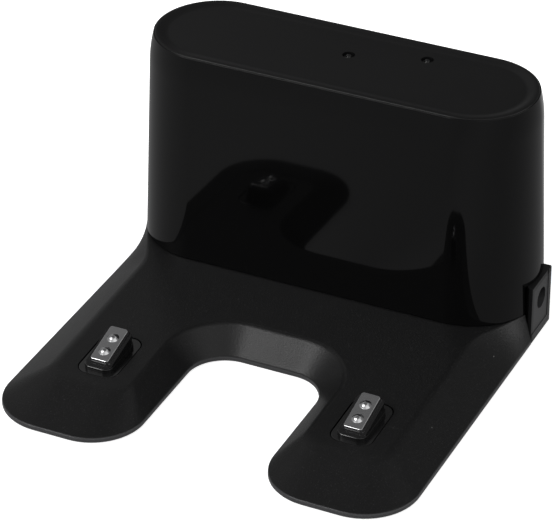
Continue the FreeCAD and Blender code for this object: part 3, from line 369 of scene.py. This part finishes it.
def shown(name, data):
    """New object in the scene."""
    thing = bpy.data.objects.new(name, data)
    scene.collection.objects.link(thing)
    return thing


def packed_form(node):
    """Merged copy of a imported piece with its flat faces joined."""
    form = bmesh.new()
    form.from_mesh(frame["nodes"][node].data)
    bmesh.ops.remove_doubles(form, verts=form.verts, dist=MERGE_GAP)
    bmesh.ops.dissolve_degenerate(form, dist=SLIVER, edges=form.edges)
    bmesh.ops.dissolve_limit(
        form, angle_limit=FLAT, verts=form.verts, edges=form.edges, delimit={"NORMAL"}
    )
    return faced_out(form)


def eased(form, width):
    """Small radius on every crisp edge, as a moulding or stamping has."""
    crisp = [
        edge for edge in form.edges
        if len(edge.link_faces) == 2 and edge.calc_face_angle(0.0) > CRISP
    ]
    bmesh.ops.bevel(
        form, geom=crisp, offset=width, offset_type="OFFSET", segments=EASE_ROWS, profile=0.5,
        affect="EDGES", clamp_overlap=True,
    )
    return form


def settled(piece, *nodes):
    """Applies a piece's modifiers and gives it its finish, slot and body."""
    graph = bpy.context.evaluated_depsgraph_get()
    mesh = bpy.data.meshes.new_from_object(piece.evaluated_get(graph))
    piece.modifiers.clear()
    piece.data = mesh
    slot = slot_of_node(nodes[0])
    piece.data.materials.clear()
    piece.data.materials.append(finishes[slot])
    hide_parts(*nodes)
    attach(piece, body_of_node(nodes[0]))


def placed(name, form, *nodes):
    """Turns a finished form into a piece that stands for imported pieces."""
    for face in form.faces:
        face.smooth = True
    for edge in form.edges:
        edge.smooth = len(edge.link_faces) == 2 and edge.calc_face_angle(0.0) < SHARP
    piece = shown(name, mesh_of(name, form))
    weigh = piece.modifiers.new("even_normals", "WEIGHTED_NORMAL")
    weigh.keep_sharp = True
    weigh.weight = NORMAL_WEIGHT
    settled(piece, *nodes)


def ringed(form, rings, closed=False):
    """Joins rings of points into a skin; closed joins the last ring to the first."""
    rows = [[form.verts.new(point) for point in ring] for ring in rings]
    pairs = list(zip(rows, rows[1:])) + ([(rows[-1], rows[0])] if closed else [])
    for low, high in pairs:
        count = len(low)
        for place in range(count):
            after = (place + 1) % count
            form.faces.new((low[place], low[after], high[after], high[place]))
    return rows


def filled(form, rings):
    """Adds a skin of rings, closed at both ends."""
    rows = ringed(form, rings)
    form.faces.new(rows[-1])
    form.faces.new(reversed(rows[0]))


def circle(radius, steps):
    turns = [math.tau * step / steps for step in range(steps)]
    return [(radius * math.cos(turn), radius * math.sin(turn)) for turn in turns]


def rounded_outline(half_width, half_length, corner, steps=6):
    """Rectangle with round corners."""
    ring = []
    for x, y, start in ((1, -1, -90.0), (1, 1, 0.0), (-1, 1, 90.0), (-1, -1, 180.0)):
        for step in range(steps + 1):
            turn = math.radians(start + 90.0 * step / steps)
            ring.append((
                x * (half_width - corner) + corner * math.cos(turn),
                y * (half_length - corner) + corner * math.sin(turn),
            ))
    return ring


def cutter(outlines, low, high):
    """Upright prisms to cut with."""
    form = bmesh.new()
    for outline in outlines:
        filled(form, [[Vector((x, y, z)) * MM for x, y in outline] for z in (low, high)])
    return shown("cutter", mesh_of("cutter", faced_out(form)))


def cut_form(form, tool):
    """Form with the tool's shape taken out of it; the tool is used up."""
    blank = shown("uncut", mesh_of("uncut", form))
    cut = blank.modifiers.new("cut", "BOOLEAN")
    cut.operation = "DIFFERENCE"
    cut.solver = "EXACT"
    cut.object = tool
    graph = bpy.context.evaluated_depsgraph_get()
    done = bpy.data.meshes.new_from_object(blank.evaluated_get(graph))
    result = bmesh.new()
    result.from_mesh(done)
    for thing in (blank, tool):
        bpy.data.objects.remove(thing, do_unlink=True)
    bpy.data.meshes.remove(done)
    return result


# Tower: pill-shaped sleeve with draft, a bent-in crown and a rounded rim; lengths in millimetres
TOWER_END = 48.4
TOWER_ROUND = 25.5
TOWER_MIDDLE = 49.5
TOWER_FOOT = 12.15
TOWER_TOP = 90.85
END_DRAFT = math.tan(math.radians(2.2))
FRONT_DRAFT = math.tan(math.radians(1.6))
CROWN_RISE = 10.0
CROWN_BEND = 95.0
CROWN_STEPS = 14
FOOT_EASE = 0.25
SIDE_HEIGHTS = (20.0, 30.0, 45.0, 60.0, 72.0)
RIM_TOP = 90.45
RIM_WALL = 0.25
RIM_ROUND = 0.12
RIM_STEPS = 4
RIM_SHOULDER = RIM_TOP - RIM_ROUND
SLEEVE_WALL = 2.0
WALL_TOP = 80.0
WALL_FOOT = 16.0
LEDGE_TOP = 84.7
LEDGE_EDGE = 84.6
LEDGE_UNDER = 82.6
LEDGE_WIDTH = 2.5
ARC_STEPS = 56


def pill(inset, height):
    """Pill outline at one height, drawn in at the ends and at the front from the foot's outline."""
    at_end, at_front = inset
    radius = TOWER_ROUND - at_front
    middle = TOWER_END - at_end + at_front
    ring = []
    for end, start in ((middle, -90.0), (-middle, 90.0)):
        for step in range(ARC_STEPS + 1):
            turn = math.radians(start + 180.0 * step / ARC_STEPS)
            ring.append(Vector((
                end + radius * math.cos(turn), TOWER_MIDDLE + radius * math.sin(turn), height
            )) * MM)
    return ring


def sleeve_inset(height, more=0.0):
    """How far the sleeve's outside has come in at a height, at the ends and at the front."""
    bend = max(0.0, height - (RIM_TOP - CROWN_RISE))
    rise = height - TOWER_FOOT
    crown = bend * bend / CROWN_BEND
    return rise * END_DRAFT + crown + more, rise * FRONT_DRAFT + crown + more


def tower_form():
    """Sleeve, from its foot up the outside, over the rim and down the inside."""
    profile = [((FOOT_EASE, FOOT_EASE), TOWER_FOOT), ((0.0, 0.0), TOWER_FOOT + FOOT_EASE)]
    for height in SIDE_HEIGHTS:
        profile.append((sleeve_inset(height), height))
    for step in range(CROWN_STEPS + 1):
        height = RIM_TOP - CROWN_RISE + (CROWN_RISE - RIM_ROUND) * step / CROWN_STEPS
        profile.append((sleeve_inset(height), height))
    for step in range(1, RIM_STEPS + 1):
        turn = math.radians(90.0 * step / RIM_STEPS)
        inset = sleeve_inset(RIM_SHOULDER, RIM_ROUND * (1.0 - math.cos(turn)))
        profile.append((inset, RIM_SHOULDER + RIM_ROUND * math.sin(turn)))
    profile += [
        (sleeve_inset(RIM_SHOULDER, RIM_WALL), RIM_TOP),
        (sleeve_inset(RIM_SHOULDER, RIM_WALL), LEDGE_TOP),
        (sleeve_inset(RIM_SHOULDER, RIM_WALL + LEDGE_WIDTH), LEDGE_EDGE),
        (sleeve_inset(RIM_SHOULDER, RIM_WALL + LEDGE_WIDTH), LEDGE_UNDER),
        (sleeve_inset(WALL_TOP, SLEEVE_WALL), WALL_TOP),
        (sleeve_inset(WALL_FOOT, SLEEVE_WALL), WALL_FOOT),
        ((SLEEVE_WALL, SLEEVE_WALL), TOWER_FOOT),
    ]
    form = bmesh.new()
    ringed(form, [pill(inset, height) for inset, height in profile], closed=True)
    return faced_out(form)


# Shallow seat of the inlet block in the sleeve's right end
SEAT_ROUND = 24.35
SEAT_HALF = 8.85
SEAT_LOW = 10.0
SEAT_TOP = 22.85
SEAT_STEPS = 16
SEAT_NEAR = TOWER_MIDDLE - SEAT_HALF
SEAT_FAR = TOWER_MIDDLE + SEAT_HALF
PAST_SIDE = 76.0


def seat_cutter():
    sweep = math.asin(SEAT_HALF / SEAT_ROUND)
    outline = [(PAST_SIDE, SEAT_NEAR), (PAST_SIDE, SEAT_FAR)]
    for step in range(SEAT_STEPS + 1):
        turn = sweep - 2.0 * sweep * step / SEAT_STEPS
        outline.append((
            TOWER_END + SEAT_ROUND * math.cos(turn), TOWER_MIDDLE + SEAT_ROUND * math.sin(turn)
        ))
    return cutter([outline], SEAT_LOW, SEAT_TOP)


placed("tower_sleeve", cut_form(tower_form(), seat_cutter()), "tower_shell")

# Lid with its two indicator wells
LID_GAP = 0.12
LID_INSET = RIM_WALL + LID_GAP
LID_UNDER = 85.0
LID_UNDER_EASE = (0.1, 0.2)
LID_EDGE = 0.55
LID_EDGE_STEPS = 6
LID_SLOPE = 4.4
LID_FLOOR = 90.15
DISH_STEPS = 14
LENS_PLACES = ((0.0, 53.2), (25.6, 61.2))
WELL_ROUND = 2.2
WELL_STEPS = 36
WELL_CUT = (84.0, 92.0)


def lid_form():
    """Lid with a rounded border and a shallow dish."""
    shoulder = TOWER_TOP - LID_EDGE
    profile = [
        (LID_INSET + LID_UNDER_EASE[0], LID_UNDER),
        (LID_INSET, LID_UNDER + LID_UNDER_EASE[1]),
        (LID_INSET, shoulder),
    ]
    for step in range(1, LID_EDGE_STEPS + 1):
        turn = math.radians(90.0 * step / LID_EDGE_STEPS)
        inset = LID_INSET + LID_EDGE * (1.0 - math.cos(turn))
        profile.append((inset, shoulder + LID_EDGE * math.sin(turn)))
    for step in range(1, DISH_STEPS + 1):
        part = step / DISH_STEPS
        fall = (TOWER_TOP - LID_FLOOR) * (0.5 - 0.5 * math.cos(math.pi * part))
        profile.append((LID_INSET + LID_EDGE + LID_SLOPE * part, TOWER_TOP - fall))
    form = bmesh.new()
    filled(form, [pill(sleeve_inset(RIM_SHOULDER, more), height) for more, height in profile])
    return faced_out(form)


wells = [
    [(x + across, y + along) for across, along in circle(WELL_ROUND, WELL_STEPS)]
    for x, y in LENS_PLACES
]
placed("lid", cut_form(lid_form(), cutter(wells, *WELL_CUT)), "top_cap")

# Foot: ruled skirt between the rim outline and the plateau outline, with softly rounded shoulders.
# Its own lengths count from the front of the tower (SEAM) and from the underside (LIFT).
SEAM = 24.0
LIFT = 0.5
HALF_WIDTH = 75.0
HALF_SLOT = 23.6
FRONT_EDGE = -100.1
SLOT_REAR = -35.25
SIDE_SLOPE = 13.5
SLOT_SLOPE = 8.4
FRONT_SLOPE = 21.1
SLOT_CORNER = 13.5
PRONG_INNER = 18.7
PRONG_OUTER = 19.5
PLATEAU_CORNER = 7.0
PLATEAU_STEP = 0.2
PLATEAU = 11.5
PLATEAU_FALL = math.tan(math.radians(2.29))
FLARE_START = 10.0
FLARE_ROUND = 22.0
RIM_HEIGHT = 1.7
RIM_EASE = (0.25, 0.3)
LIP = 0.6
LIP_SHARE = 0.1
SHOULDER_SHARE = 0.45
LIP_ROWS = 4
SLOPE_ROWS = 3
SHOULDER_ROWS = 8
ROOF = 2.0
ROOF_INSET = 1.6
RIM_INSET = 3.8

# Points on each stretch of the outline's right half, and the shoulder's reach where it starts:
# slot end, slot corner, slot side, prong's inner corner, prong's front, prong's outer corner,
# side, bend of the flare, flare, side of the tower, tower's round end, back
COUNTS = (4, 18, 10, 16, 5, 16, 14, 10, 12, 3, 22, 5)
SHOULDERS = (1.3, 1.3, 1.2, 1.8, 2.6, 2.6, 2.4, 1.5, 0.7, 0.12, 0.1, 0.1)
FLARE_STRETCHES = 8


def run(start, end, count):
    """Points along a straight, without its end."""
    return [
        (start[0] + (end[0] - start[0]) * step / count, start[1] + (end[1] - start[1]) * step / count)
        for step in range(count)
    ]


def bow(middle, radius, start, end, count):
    """Points along an arc, without its end."""
    turns = [math.radians(start + (end - start) * step / count) for step in range(count)]
    return [(middle[0] + radius * math.cos(turn), middle[1] + radius * math.sin(turn)) for turn in turns]


def flare_reach(inset):
    """How far the plateau's edge swings out in the bend, and where the flare behind it ends."""
    bend = FLARE_ROUND + inset
    straight = math.sqrt(bend * bend - FLARE_START ** 2)
    swing = bend - straight
    return swing, (SIDE_SLOPE - PLATEAU_STEP - swing) * straight / FLARE_START


def half_prong(side, slot, rear, front, bend, inner, outer):
    """Outline from the slot's inner end round the right prong to where the flare starts."""
    n = COUNTS
    points = run((0.0, rear), (slot - bend, rear), n[0])
    points += bow((slot - bend, rear - bend), bend, 90.0, 0.0, n[1])
    points += run((slot, rear - bend), (slot, front + inner), n[2])
    points += bow((slot + inner, front + inner), inner, 180.0, 270.0, n[3])
    points += run((slot + inner, front), (side - outer, front), n[4])
    points += bow((side - outer, front + outer), outer, 270.0, 360.0, n[5])
    return points + run((side, front + outer), (side, -FLARE_START), n[6])


def half_back(side, reach):
    """Outline from the end of the flare round the tower to the middle of the back."""
    n = COUNTS
    back = TOWER_ROUND + side - TOWER_END
    points = run((side, reach), (side, TOWER_ROUND), n[9])
    points += bow((TOWER_END, TOWER_ROUND), side - TOWER_END, 0.0, 90.0, n[10])
    return points + run((TOWER_END, back), (0.0, back), n[11] - 1) + [(0.0, back)]


def half_rim(inset, reach):
    """Right half of the rim outline, from the slot's inner end round to the back."""
    side = HALF_WIDTH - inset
    points = half_prong(
        side, HALF_SLOT + inset, SLOT_REAR + inset, FRONT_EDGE + inset,
        SLOT_CORNER + inset, PRONG_INNER - inset, PRONG_OUTER - inset,
    )
    points += run((side, -FLARE_START), (side, 0.0), COUNTS[7])
    points += run((side, 0.0), (side, reach), COUNTS[8])
    return points + half_back(side, reach)


def half_plateau(inset, swing, reach):
    """Right half of the plateau outline, point for point beside the rim outline."""
    side = HALF_WIDTH - SIDE_SLOPE - inset
    corner = PLATEAU_CORNER - inset
    outer = HALF_WIDTH - PLATEAU_STEP - inset
    flare = FLARE_ROUND + inset
    points = half_prong(
        side, HALF_SLOT + SLOT_SLOPE + inset, SLOT_REAR + SLOT_SLOPE + inset,
        FRONT_EDGE + FRONT_SLOPE + inset, SLOT_CORNER + SLOT_SLOPE + inset, corner, corner,
    )
    for step in range(COUNTS[7]):
        along = FLARE_START * step / COUNTS[7]
        bend = flare - math.sqrt(flare * flare - along * along)
        points.append((side + bend, along - FLARE_START))
    points += run((side + swing, 0.0), (outer, reach), COUNTS[8])
    return points + half_back(outer, reach)


def shoulder_reaches():
    """How far the rounded shoulder reaches to each side of the plateau's edge, for every point."""
    ends = SHOULDERS[1:] + SHOULDERS[-1:]
    values = []
    for count, here, there in zip(COUNTS, SHOULDERS, ends):
        values += [here + (there - here) * step / count for step in range(count)]
    return values


def plateau_height(y):
    """The plateau falls towards the prongs' front."""
    return PLATEAU + PLATEAU_FALL * min(y, 0.0)


def foot_ring(half):
    """Whole ring of the foot from its right half: the left half follows mirrored."""
    whole = half + [(-x, y, z) for x, y, z in reversed(half[1:-1])]
    return [Vector((x, y + SEAM, z + LIFT)) * MM for x, y, z in whole]


def bent(start, middle, end, count):
    """Points on a smooth bend from start to end that leans towards middle, without its start."""
    parts = [step / count for step in range(1, count + 1)]
    return [
        start * (1.0 - part) ** 2 + middle * (2.0 * part * (1.0 - part)) + end * part ** 2
        for part in parts
    ]


def skirt_column(rim, edge, width):
    """Points from the floor up the rim, the skirt and the shoulder to the plateau."""
    foot = Vector((*rim, 0.0))
    low = Vector((*rim, RIM_HEIGHT))
    top = Vector((*edge, plateau_height(edge[1])))
    slope = top - low
    inward = Vector((edge[0] - rim[0], edge[1] - rim[1], 0.0)).normalized()
    inside = Vector((*edge, 0.0)) + inward * width
    inside.z = plateau_height(inside.y)
    shoulder = top - slope * min(SHOULDER_SHARE, width / slope.length)
    lip = low + slope * min(LIP_SHARE, LIP / slope.length)
    under_lip = Vector((*rim, RIM_HEIGHT - LIP))
    column = [foot + inward * RIM_EASE[0], Vector((*rim, RIM_EASE[1])), under_lip]
    column += bent(under_lip, low, lip, LIP_ROWS)
    column += [lip.lerp(shoulder, step / SLOPE_ROWS) for step in range(1, SLOPE_ROWS + 1)]
    column += bent(shoulder, top, inside, SHOULDER_ROWS)
    return [tuple(point) for point in column]


def cover_form():
    """Foot cover, open below, with its outer skin and its cavity."""
    swing, reach = flare_reach(0.0)
    outlines = zip(half_rim(0.0, reach), half_plateau(0.0, swing, reach), shoulder_reaches())
    columns = [skirt_column(*station) for station in outlines]
    form = bmesh.new()
    outer = ringed(form, [foot_ring(list(row)) for row in zip(*columns)])
    swing, reach = flare_reach(ROOF_INSET)
    wall = half_rim(RIM_INSET, reach)
    roof = half_plateau(ROOF_INSET, swing, reach)
    inner = ringed(form, [
        foot_ring([(x, y, 0.0) for x, y in wall]),
        foot_ring([(x, y, RIM_HEIGHT) for x, y in wall]),
        foot_ring([(x, y, plateau_height(y) - ROOF) for x, y in roof]),
    ])
    count = len(outer[0])
    for place in range(count):
        after = (place + 1) % count
        form.faces.new((outer[0][after], outer[0][place], inner[0][place], inner[0][after]))
    # The plateau and the roof under it are two flat faces each, which meet where the fall starts
    fold = sum(COUNTS[:FLARE_STRETCHES])
    for ring in (outer[-1], inner[-1]):
        face = form.faces.new(ring)
        bmesh.utils.face_split(face, ring[fold], ring[count - fold])
    return faced_out(form)


# Openings of the contact blocks, and the recess of the inlet block in the rim
OPENING_X = 46.4
OPENING_Y = -37.75
OPENING = (7.6, 12.2, 4.5)
OPENING_STEPS = 8
OPENING_CUT = (6.0, 14.0)
RECESS_FLOOR = 70.9
RECESS_CUT = (-1.0, 14.0)

openings = [
    [(side * OPENING_X + x, OPENING_Y + y) for x, y in rounded_outline(*OPENING, steps=OPENING_STEPS)]
    for side in (1, -1)
]
recess = [
    (RECESS_FLOOR, SEAT_NEAR), (PAST_SIDE, SEAT_NEAR), (PAST_SIDE, SEAT_FAR), (RECESS_FLOOR, SEAT_FAR)
]
foot_form = cut_form(cover_form(), cutter(openings, *OPENING_CUT))
placed("foot_cover", cut_form(foot_form, cutter([recess], *RECESS_CUT)), "base_cover")

# Contact plates: stamped sheet with a rounded outline and rolled edges, two domes pressed up
RAMP = math.radians(12.95)
PLATE_HALF_WIDTH = 3.35
PLATE_HALF_LENGTH = 8.0
PLATE_CORNER = 0.9
PLATE_THICK = 0.8
PLATE_ROWS = (
    (0.1, -PLATE_THICK), (0.0, -PLATE_THICK + 0.1), (0.0, -0.22), (0.06, -0.09), (0.16, -0.02), (0.28, 0.0)
)
CREST_BAND = 0.03
DOME_ROUND = 1.95
DOME_RISE = 1.05
DOME_FILLET = ((0.18, -0.05), (0.12, 0.01))
DOME_STEPS = 12
TURN_STEPS = 32


def plate_frame(node):
    """Lean of a packed contact plate, the middle of its top face and the places of its two domes."""
    lean = Matrix.Rotation(RAMP, 4, "X")
    up = lean @ Vector((0.0, 0.0, 1.0))
    along = lean @ Vector((0.0, 1.0, 0.0))
    points = [vertex.co.copy() for vertex in frame["nodes"][node].data.vertices]
    heights = [point.dot(up) for point in points]
    ends = [point.dot(along) for point in points]
    sides = [point.x for point in points]
    crest = sorted(
        end for end, height in zip(ends, heights) if height > max(heights) - CREST_BAND * MM
    )
    middle = 0.5 * (crest[0] + crest[-1])
    groups = (
        [end for end in crest if end < middle], [end for end in crest if end >= middle]
    )
    side = 0.5 * (min(sides) + max(sides))
    face = min(heights) + PLATE_THICK * MM

    def spot(reach):
        return Vector((side, 0.0, 0.0)) + along * reach + up * face

    centre = spot(0.5 * (min(ends) + max(ends)))
    return lean, centre, [spot(0.5 * (group[0] + group[-1])) for group in groups]


def leaning_rings(seat, rows, half_width, half_length, corner):
    """Rounded rectangles drawn in by each row's inset and set at its height, in the seat's frame."""
    rings = []
    for inset, height in rows:
        outline = rounded_outline(half_width - inset, half_length - inset, corner - inset)
        rings.append([seat @ (Vector((x, y, height)) * MM) for x, y in outline])
    return rings


def plate_form(lean, centre):
    seat = Matrix.Translation(centre) @ lean
    form = bmesh.new()
    filled(form, leaning_rings(seat, PLATE_ROWS, PLATE_HALF_WIDTH, PLATE_HALF_LENGTH, PLATE_CORNER))
    return faced_out(form)


def lathe(profile):
    """Turned shape from (radius, height) pairs that end on the axis."""
    form = bmesh.new()
    made = ringed(form, [
        [Vector((x, y, height)) * MM for x, y in circle(radius, TURN_STEPS)]
        for radius, height in profile[:-1]
    ])
    crown = form.verts.new(Vector((0.0, 0.0, profile[-1][1])) * MM)
    for place in range(TURN_STEPS):
        form.faces.new((made[-1][place], made[-1][(place + 1) % TURN_STEPS], crown))
    for face in faced_out(form).faces:
        face.smooth = True
    return mesh_of("turned", form)


def dome_mesh():
    """Pressed dome with a small fillet at its foot."""
    sphere = (DOME_ROUND ** 2 + DOME_RISE ** 2) / (2.0 * DOME_RISE)
    profile = [(DOME_ROUND + more, height) for more, height in DOME_FILLET]
    for step in range(1, DOME_STEPS + 1):
        radius = DOME_ROUND * (1.0 - step / DOME_STEPS)
        profile.append((radius, math.sqrt(sphere ** 2 - radius ** 2) - sphere + DOME_RISE))
    return lathe(profile)


# Low step round the foot of a contact block, leaning with the plateau: outset as negative inset
BLOCK_Y = -38.3
BLOCK_FLOOR = 9.51
BLOCK_HALF_WIDTH = 4.85
BLOCK_HALF_LENGTH = 9.25
BLOCK_CORNER = 2.5
BLOCK_EASE = 0.28
COLLAR_ROWS = (
    (-0.45, -0.4), (-0.45, 1.2), (-0.42, 1.32), (-0.33, 1.4), (-0.22, 1.42), (0.3, 1.42), (0.3, -0.4)
)
INLET_EASE = 0.16


def add_collar(form, middle):
    seat = Matrix.Translation(Vector((middle, BLOCK_Y, BLOCK_FLOOR)) * MM)
    seat = seat @ Matrix.Rotation(math.atan(PLATEAU_FALL), 4, "X")
    rings = leaning_rings(seat, COLLAR_ROWS, BLOCK_HALF_WIDTH, BLOCK_HALF_LENGTH, BLOCK_CORNER)
    rows = ringed(form, rings, closed=True)
    skin = {face for row in rows for corner in row for face in corner.link_faces}
    bmesh.ops.recalc_face_normals(form, faces=list(skin))


# Smoked end of a light pipe: a dark ring round a raised clear tip, as (radius, height)
LENS_PROFILE = (
    (2.05, -8.5), (2.05, -0.85), (1.95, -0.75), (1.2, -0.75), (1.0, -0.65), (0.95, -0.35),
    (0.85, -0.18), (0.55, -0.06), (0.25, -0.01), (0.0, 0.0),
)


def set_out_tree():
    """Geometry nodes that set one small piece at every given point, turned alike."""
    tree = bpy.data.node_groups.new("set_out", "GeometryNodeTree")
    ports = {}
    for name, kind in (
        ("Places", "NodeSocketGeometry"), ("Piece", "NodeSocketObject"), ("Turn", "NodeSocketVector"),
        ("Finish", "NodeSocketMaterial"),
    ):
        ports[name] = tree.interface.new_socket(name, in_out="INPUT", socket_type=kind).identifier
    tree.interface.new_socket("Result", in_out="OUTPUT", socket_type="NodeSocketGeometry")
    way_in = tree.nodes.new("NodeGroupInput")
    way_out = tree.nodes.new("NodeGroupOutput")
    wiring = Wiring(tree)
    source = {name: Wire(tree, way_in.outputs[name]) for name in ports}
    shape = wiring.add("GeometryNodeObjectInfo", "Geometry", Object=source["Piece"])
    turn = wiring.add("FunctionNodeEulerToRotation", Euler=source["Turn"])
    copies = wiring.add(
        "GeometryNodeInstanceOnPoints", Points=source["Places"], Instance=shape, Rotation=turn
    )
    solid = wiring.add("GeometryNodeRealizeInstances", Geometry=copies)
    done = wiring.add("GeometryNodeSetMaterial", Geometry=solid, Material=source["Finish"])
    feed(way_out.inputs["Result"], done)
    return tree, ports


set_out, set_out_ports = set_out_tree()


def set_out_pieces(name, mesh, places, turn, *nodes):
    """One piece made of the same small shape at several places."""
    pattern = bpy.data.objects.new(name + "_pattern", mesh)
    points = bpy.data.meshes.new(name + "_places")
    points.from_pydata([tuple(place) for place in places], [], [])
    piece = shown(name, points)
    nodes_modifier = piece.modifiers.new("set_out", "NODES")
    nodes_modifier.node_group = set_out
    nodes_modifier[set_out_ports["Piece"]] = pattern
    nodes_modifier[set_out_ports["Turn"]] = turn
    nodes_modifier[set_out_ports["Finish"]] = finishes[slot_of_node(nodes[0])]
    settled(piece, *nodes)
    bpy.data.objects.remove(pattern, do_unlink=True)


set_out_pieces(
    "indicator_lenses", lathe(LENS_PROFILE), [Vector((x, y, LID_FLOOR)) * MM for x, y in LENS_PLACES],
    (0.0, 0.0, 0.0), "light_pipes",
)
for hand, side in (("left", -1), ("right", 1)):
    node = "contact_plate_" + hand
    lean, centre, domes = plate_frame(node)
    placed("contact_sheet_" + hand, plate_form(lean, centre), node)
    set_out_pieces("contact_domes_" + hand, dome_mesh(), domes, (RAMP, 0.0, 0.0), node)
    node = "contact_carrier_" + hand
    moulding = eased(packed_form(node), BLOCK_EASE * MM)
    add_collar(moulding, side * OPENING_X)
    placed("carrier_moulding_" + hand, moulding, node)

placed("inlet_block", eased(packed_form("jack_bezel"), INLET_EASE * MM), "jack_bezel")

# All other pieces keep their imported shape
own_pieces = {
    "base_cover", "tower_shell", "top_cap", "light_pipes", "jack_bezel",
    "contact_plate_left", "contact_plate_right", "contact_carrier_left", "contact_carrier_right",
}
for node in frame["nodes"]:
    if node not in own_pieces:
        placed(node + "_finished", packed_form(node), node)

# Camera: it looks at a point in the dock from the front right and above
CAMERA_TARGET = Vector((0.54, -6.12, 41.84)) * MM
CAMERA_BEARING = math.radians(25.35)
CAMERA_RISE = math.radians(32.29)
CAMERA_ROLL = math.radians(-0.18)
CAMERA_REACH = 1077.9 * MM
CAMERA_LENS = 210.9
SENSOR_WIDTH = 36.0

eye = CAMERA_TARGET + CAMERA_REACH * Vector((
    math.sin(CAMERA_BEARING) * math.cos(CAMERA_RISE),
    -math.cos(CAMERA_BEARING) * math.cos(CAMERA_RISE),
    math.sin(CAMERA_RISE),
))
camera_data = bpy.data.cameras.new("camera")
camera_data.sensor_width = SENSOR_WIDTH
camera_data.lens = CAMERA_LENS
camera = shown("camera", camera_data)
look = (CAMERA_TARGET - eye).to_track_quat("-Z", "Y").to_matrix().to_4x4()
camera.matrix_world = Matrix.Translation(eye) @ look @ Matrix.Rotation(CAMERA_ROLL, 4, "Z")
scene.camera = camera
scene.view_settings.view_transform = "Standard"


# Surroundings: soft panels of light, angles in degrees, bearing 0 in front and 90 on the inlet side
class Surround(Wiring):
    """Soft windows on a way out from the dock, by its bearing and its height."""

    def __init__(self, tree, way):
        super().__init__(tree)
        self.x, self.y, up = (self.part(letter, way) for letter in "XYZ")
        self.flat = (self.x * self.x + self.y * self.y + 0.000001).math("SQRT")
        self.rise = up.math("ARCTAN2", self.flat) * (180.0 / math.pi)

    def sector(self, bearing, spread, soft):
        """Window round a bearing, spread to each side of it."""
        turn = math.radians(bearing)
        nearness = (self.x * math.sin(turn) - self.y * math.cos(turn)) / self.flat
        far, near = (
            math.cos(math.radians(min(180.0, max(0.0, spread + shift)))) for shift in (soft, -soft)
        )
        return nearness.ramp(far, near)

    def band(self, low, high, soft):
        """Window between two heights."""
        return self.rise.ramp(low - soft, low + soft) * (1.0 - self.rise.ramp(high - soft, high + soft))

    def panel(self, bearing, spread, low, high, soft):
        return self.band(low, high, soft) * self.sector(bearing, spread, soft)


# Broad panels: rows by height, columns by bearing. The levels here and of the softboxes were fitted
# so that the tones of the render come near the photograph's.
SKY_BANDS = ((0.0, 14.0), (14.0, 32.0), (32.0, 50.0), (50.0, 68.0))
SKY_LEVELS = (
    (0.0, 0.72, 0.83, 0.0, 0.49, 0.42),
    (0.59, 1.2, 0.22, 0.08, 0.18, 0.48),
    (1.09, 1.62, 0.34, 0.21, 0.57, 0.82),
    (0.9, 1.41, 0.99, 0.29, 0.19, 0.25),
)
SKY_STEP = 60.0
SKY_SPREAD = 30.0
SKY_SOFT = 8.0
# Softboxes: bearing, spread, low, high, soft edge, level
SOFTBOXES = (
    (317.0, 17.0, 50.0, 64.0, 5.0, 5.05),
    (317.0, 17.0, 36.0, 50.0, 5.0, 14.64),
    (218.0, 22.0, -6.0, 10.0, 5.0, 0.16),
    (103.0, 18.0, -6.0, 20.0, 6.0, 3.2),
    (168.0, 20.0, -4.0, 10.0, 8.0, 0.45),
)
ZENITH_BAND = (72.0, 95.0, 6.0)
ZENITH_LEVEL = 0.22

sky_panels = [
    (SKY_STEP * place, SKY_SPREAD, low, high, SKY_SOFT, level)
    for (low, high), levels in zip(SKY_BANDS, SKY_LEVELS) for place, level in enumerate(levels) if level
]
world = bpy.data.worlds.new("studio")
scene.world = world
world.use_nodes = True
world.node_tree.nodes.clear()
studio = Wiring(world.node_tree)
surround = Surround(world.node_tree, studio.add("ShaderNodeTexCoord", "Generated"))
sky = surround.band(*ZENITH_BAND) * ZENITH_LEVEL
for *window, level in [*sky_panels, *SOFTBOXES]:
    sky = sky + surround.panel(*window) * level
seen = studio.add("ShaderNodeLightPath", "Is Camera Ray")
back = studio.add("ShaderNodeBackground", Color=studio.mix(seen, sky, WHITE))
world_out = world.node_tree.nodes.new("ShaderNodeOutputWorld")
feed(world_out.inputs["Surface"], back)

# Floor: pale paper for the camera, darker for the light that it returns and for mirror rays
FLOOR_HALF = 6.0
PAPER_GRAIN = 0.002
PAPER_TONES = ((0.78, 0.78, 0.78), (0.82, 0.82, 0.82))
PAPER_GLOW = (0.7, 0.7, 0.7)
FLOOR_RETURN = 0.1
MIRRORED_LEVEL = 0.06
# Lighter parts of the floor for mirror rays: bearing, spread, soft edge, level
MIRRORED_SECTORS = (
    (350.0, 75.0, 30.0, 0.11),
    (80.0, 60.0, 55.0, 0.2),
    (290.0, 45.0, 40.0, 0.2),
    (172.0, 12.0, 12.0, 0.35),
)

floor_form = bmesh.new()
bmesh.ops.create_grid(floor_form, x_segments=2, y_segments=2, size=FLOOR_HALF)
floor = shown("floor", mesh_of("floor", floor_form))
paper = Finish("floor_paper")
seen = paper.add("ShaderNodeLightPath", "Is Camera Ray")
glossed = paper.add("ShaderNodeLightPath", "Is Glossy Ray")
round_floor = Surround(paper.tree, paper.place)
mirrored = MIRRORED_LEVEL
for *window, level in MIRRORED_SECTORS:
    mirrored = mirrored + round_floor.sector(*window) * level
paper.set(
    Base_Color=paper.mix(seen, grey(FLOOR_RETURN), paper.mix(paper.noise(PAPER_GRAIN, 3.0), *PAPER_TONES)),
    Roughness=1.0,
    Specular_IOR_Level=0.0,
    Emission_Color=paper.mix(seen, paper.mix(glossed, BLACK, mirrored), PAPER_GLOW),
    Emission_Strength=1.0,
)
floor.data.materials.append(paper.material)
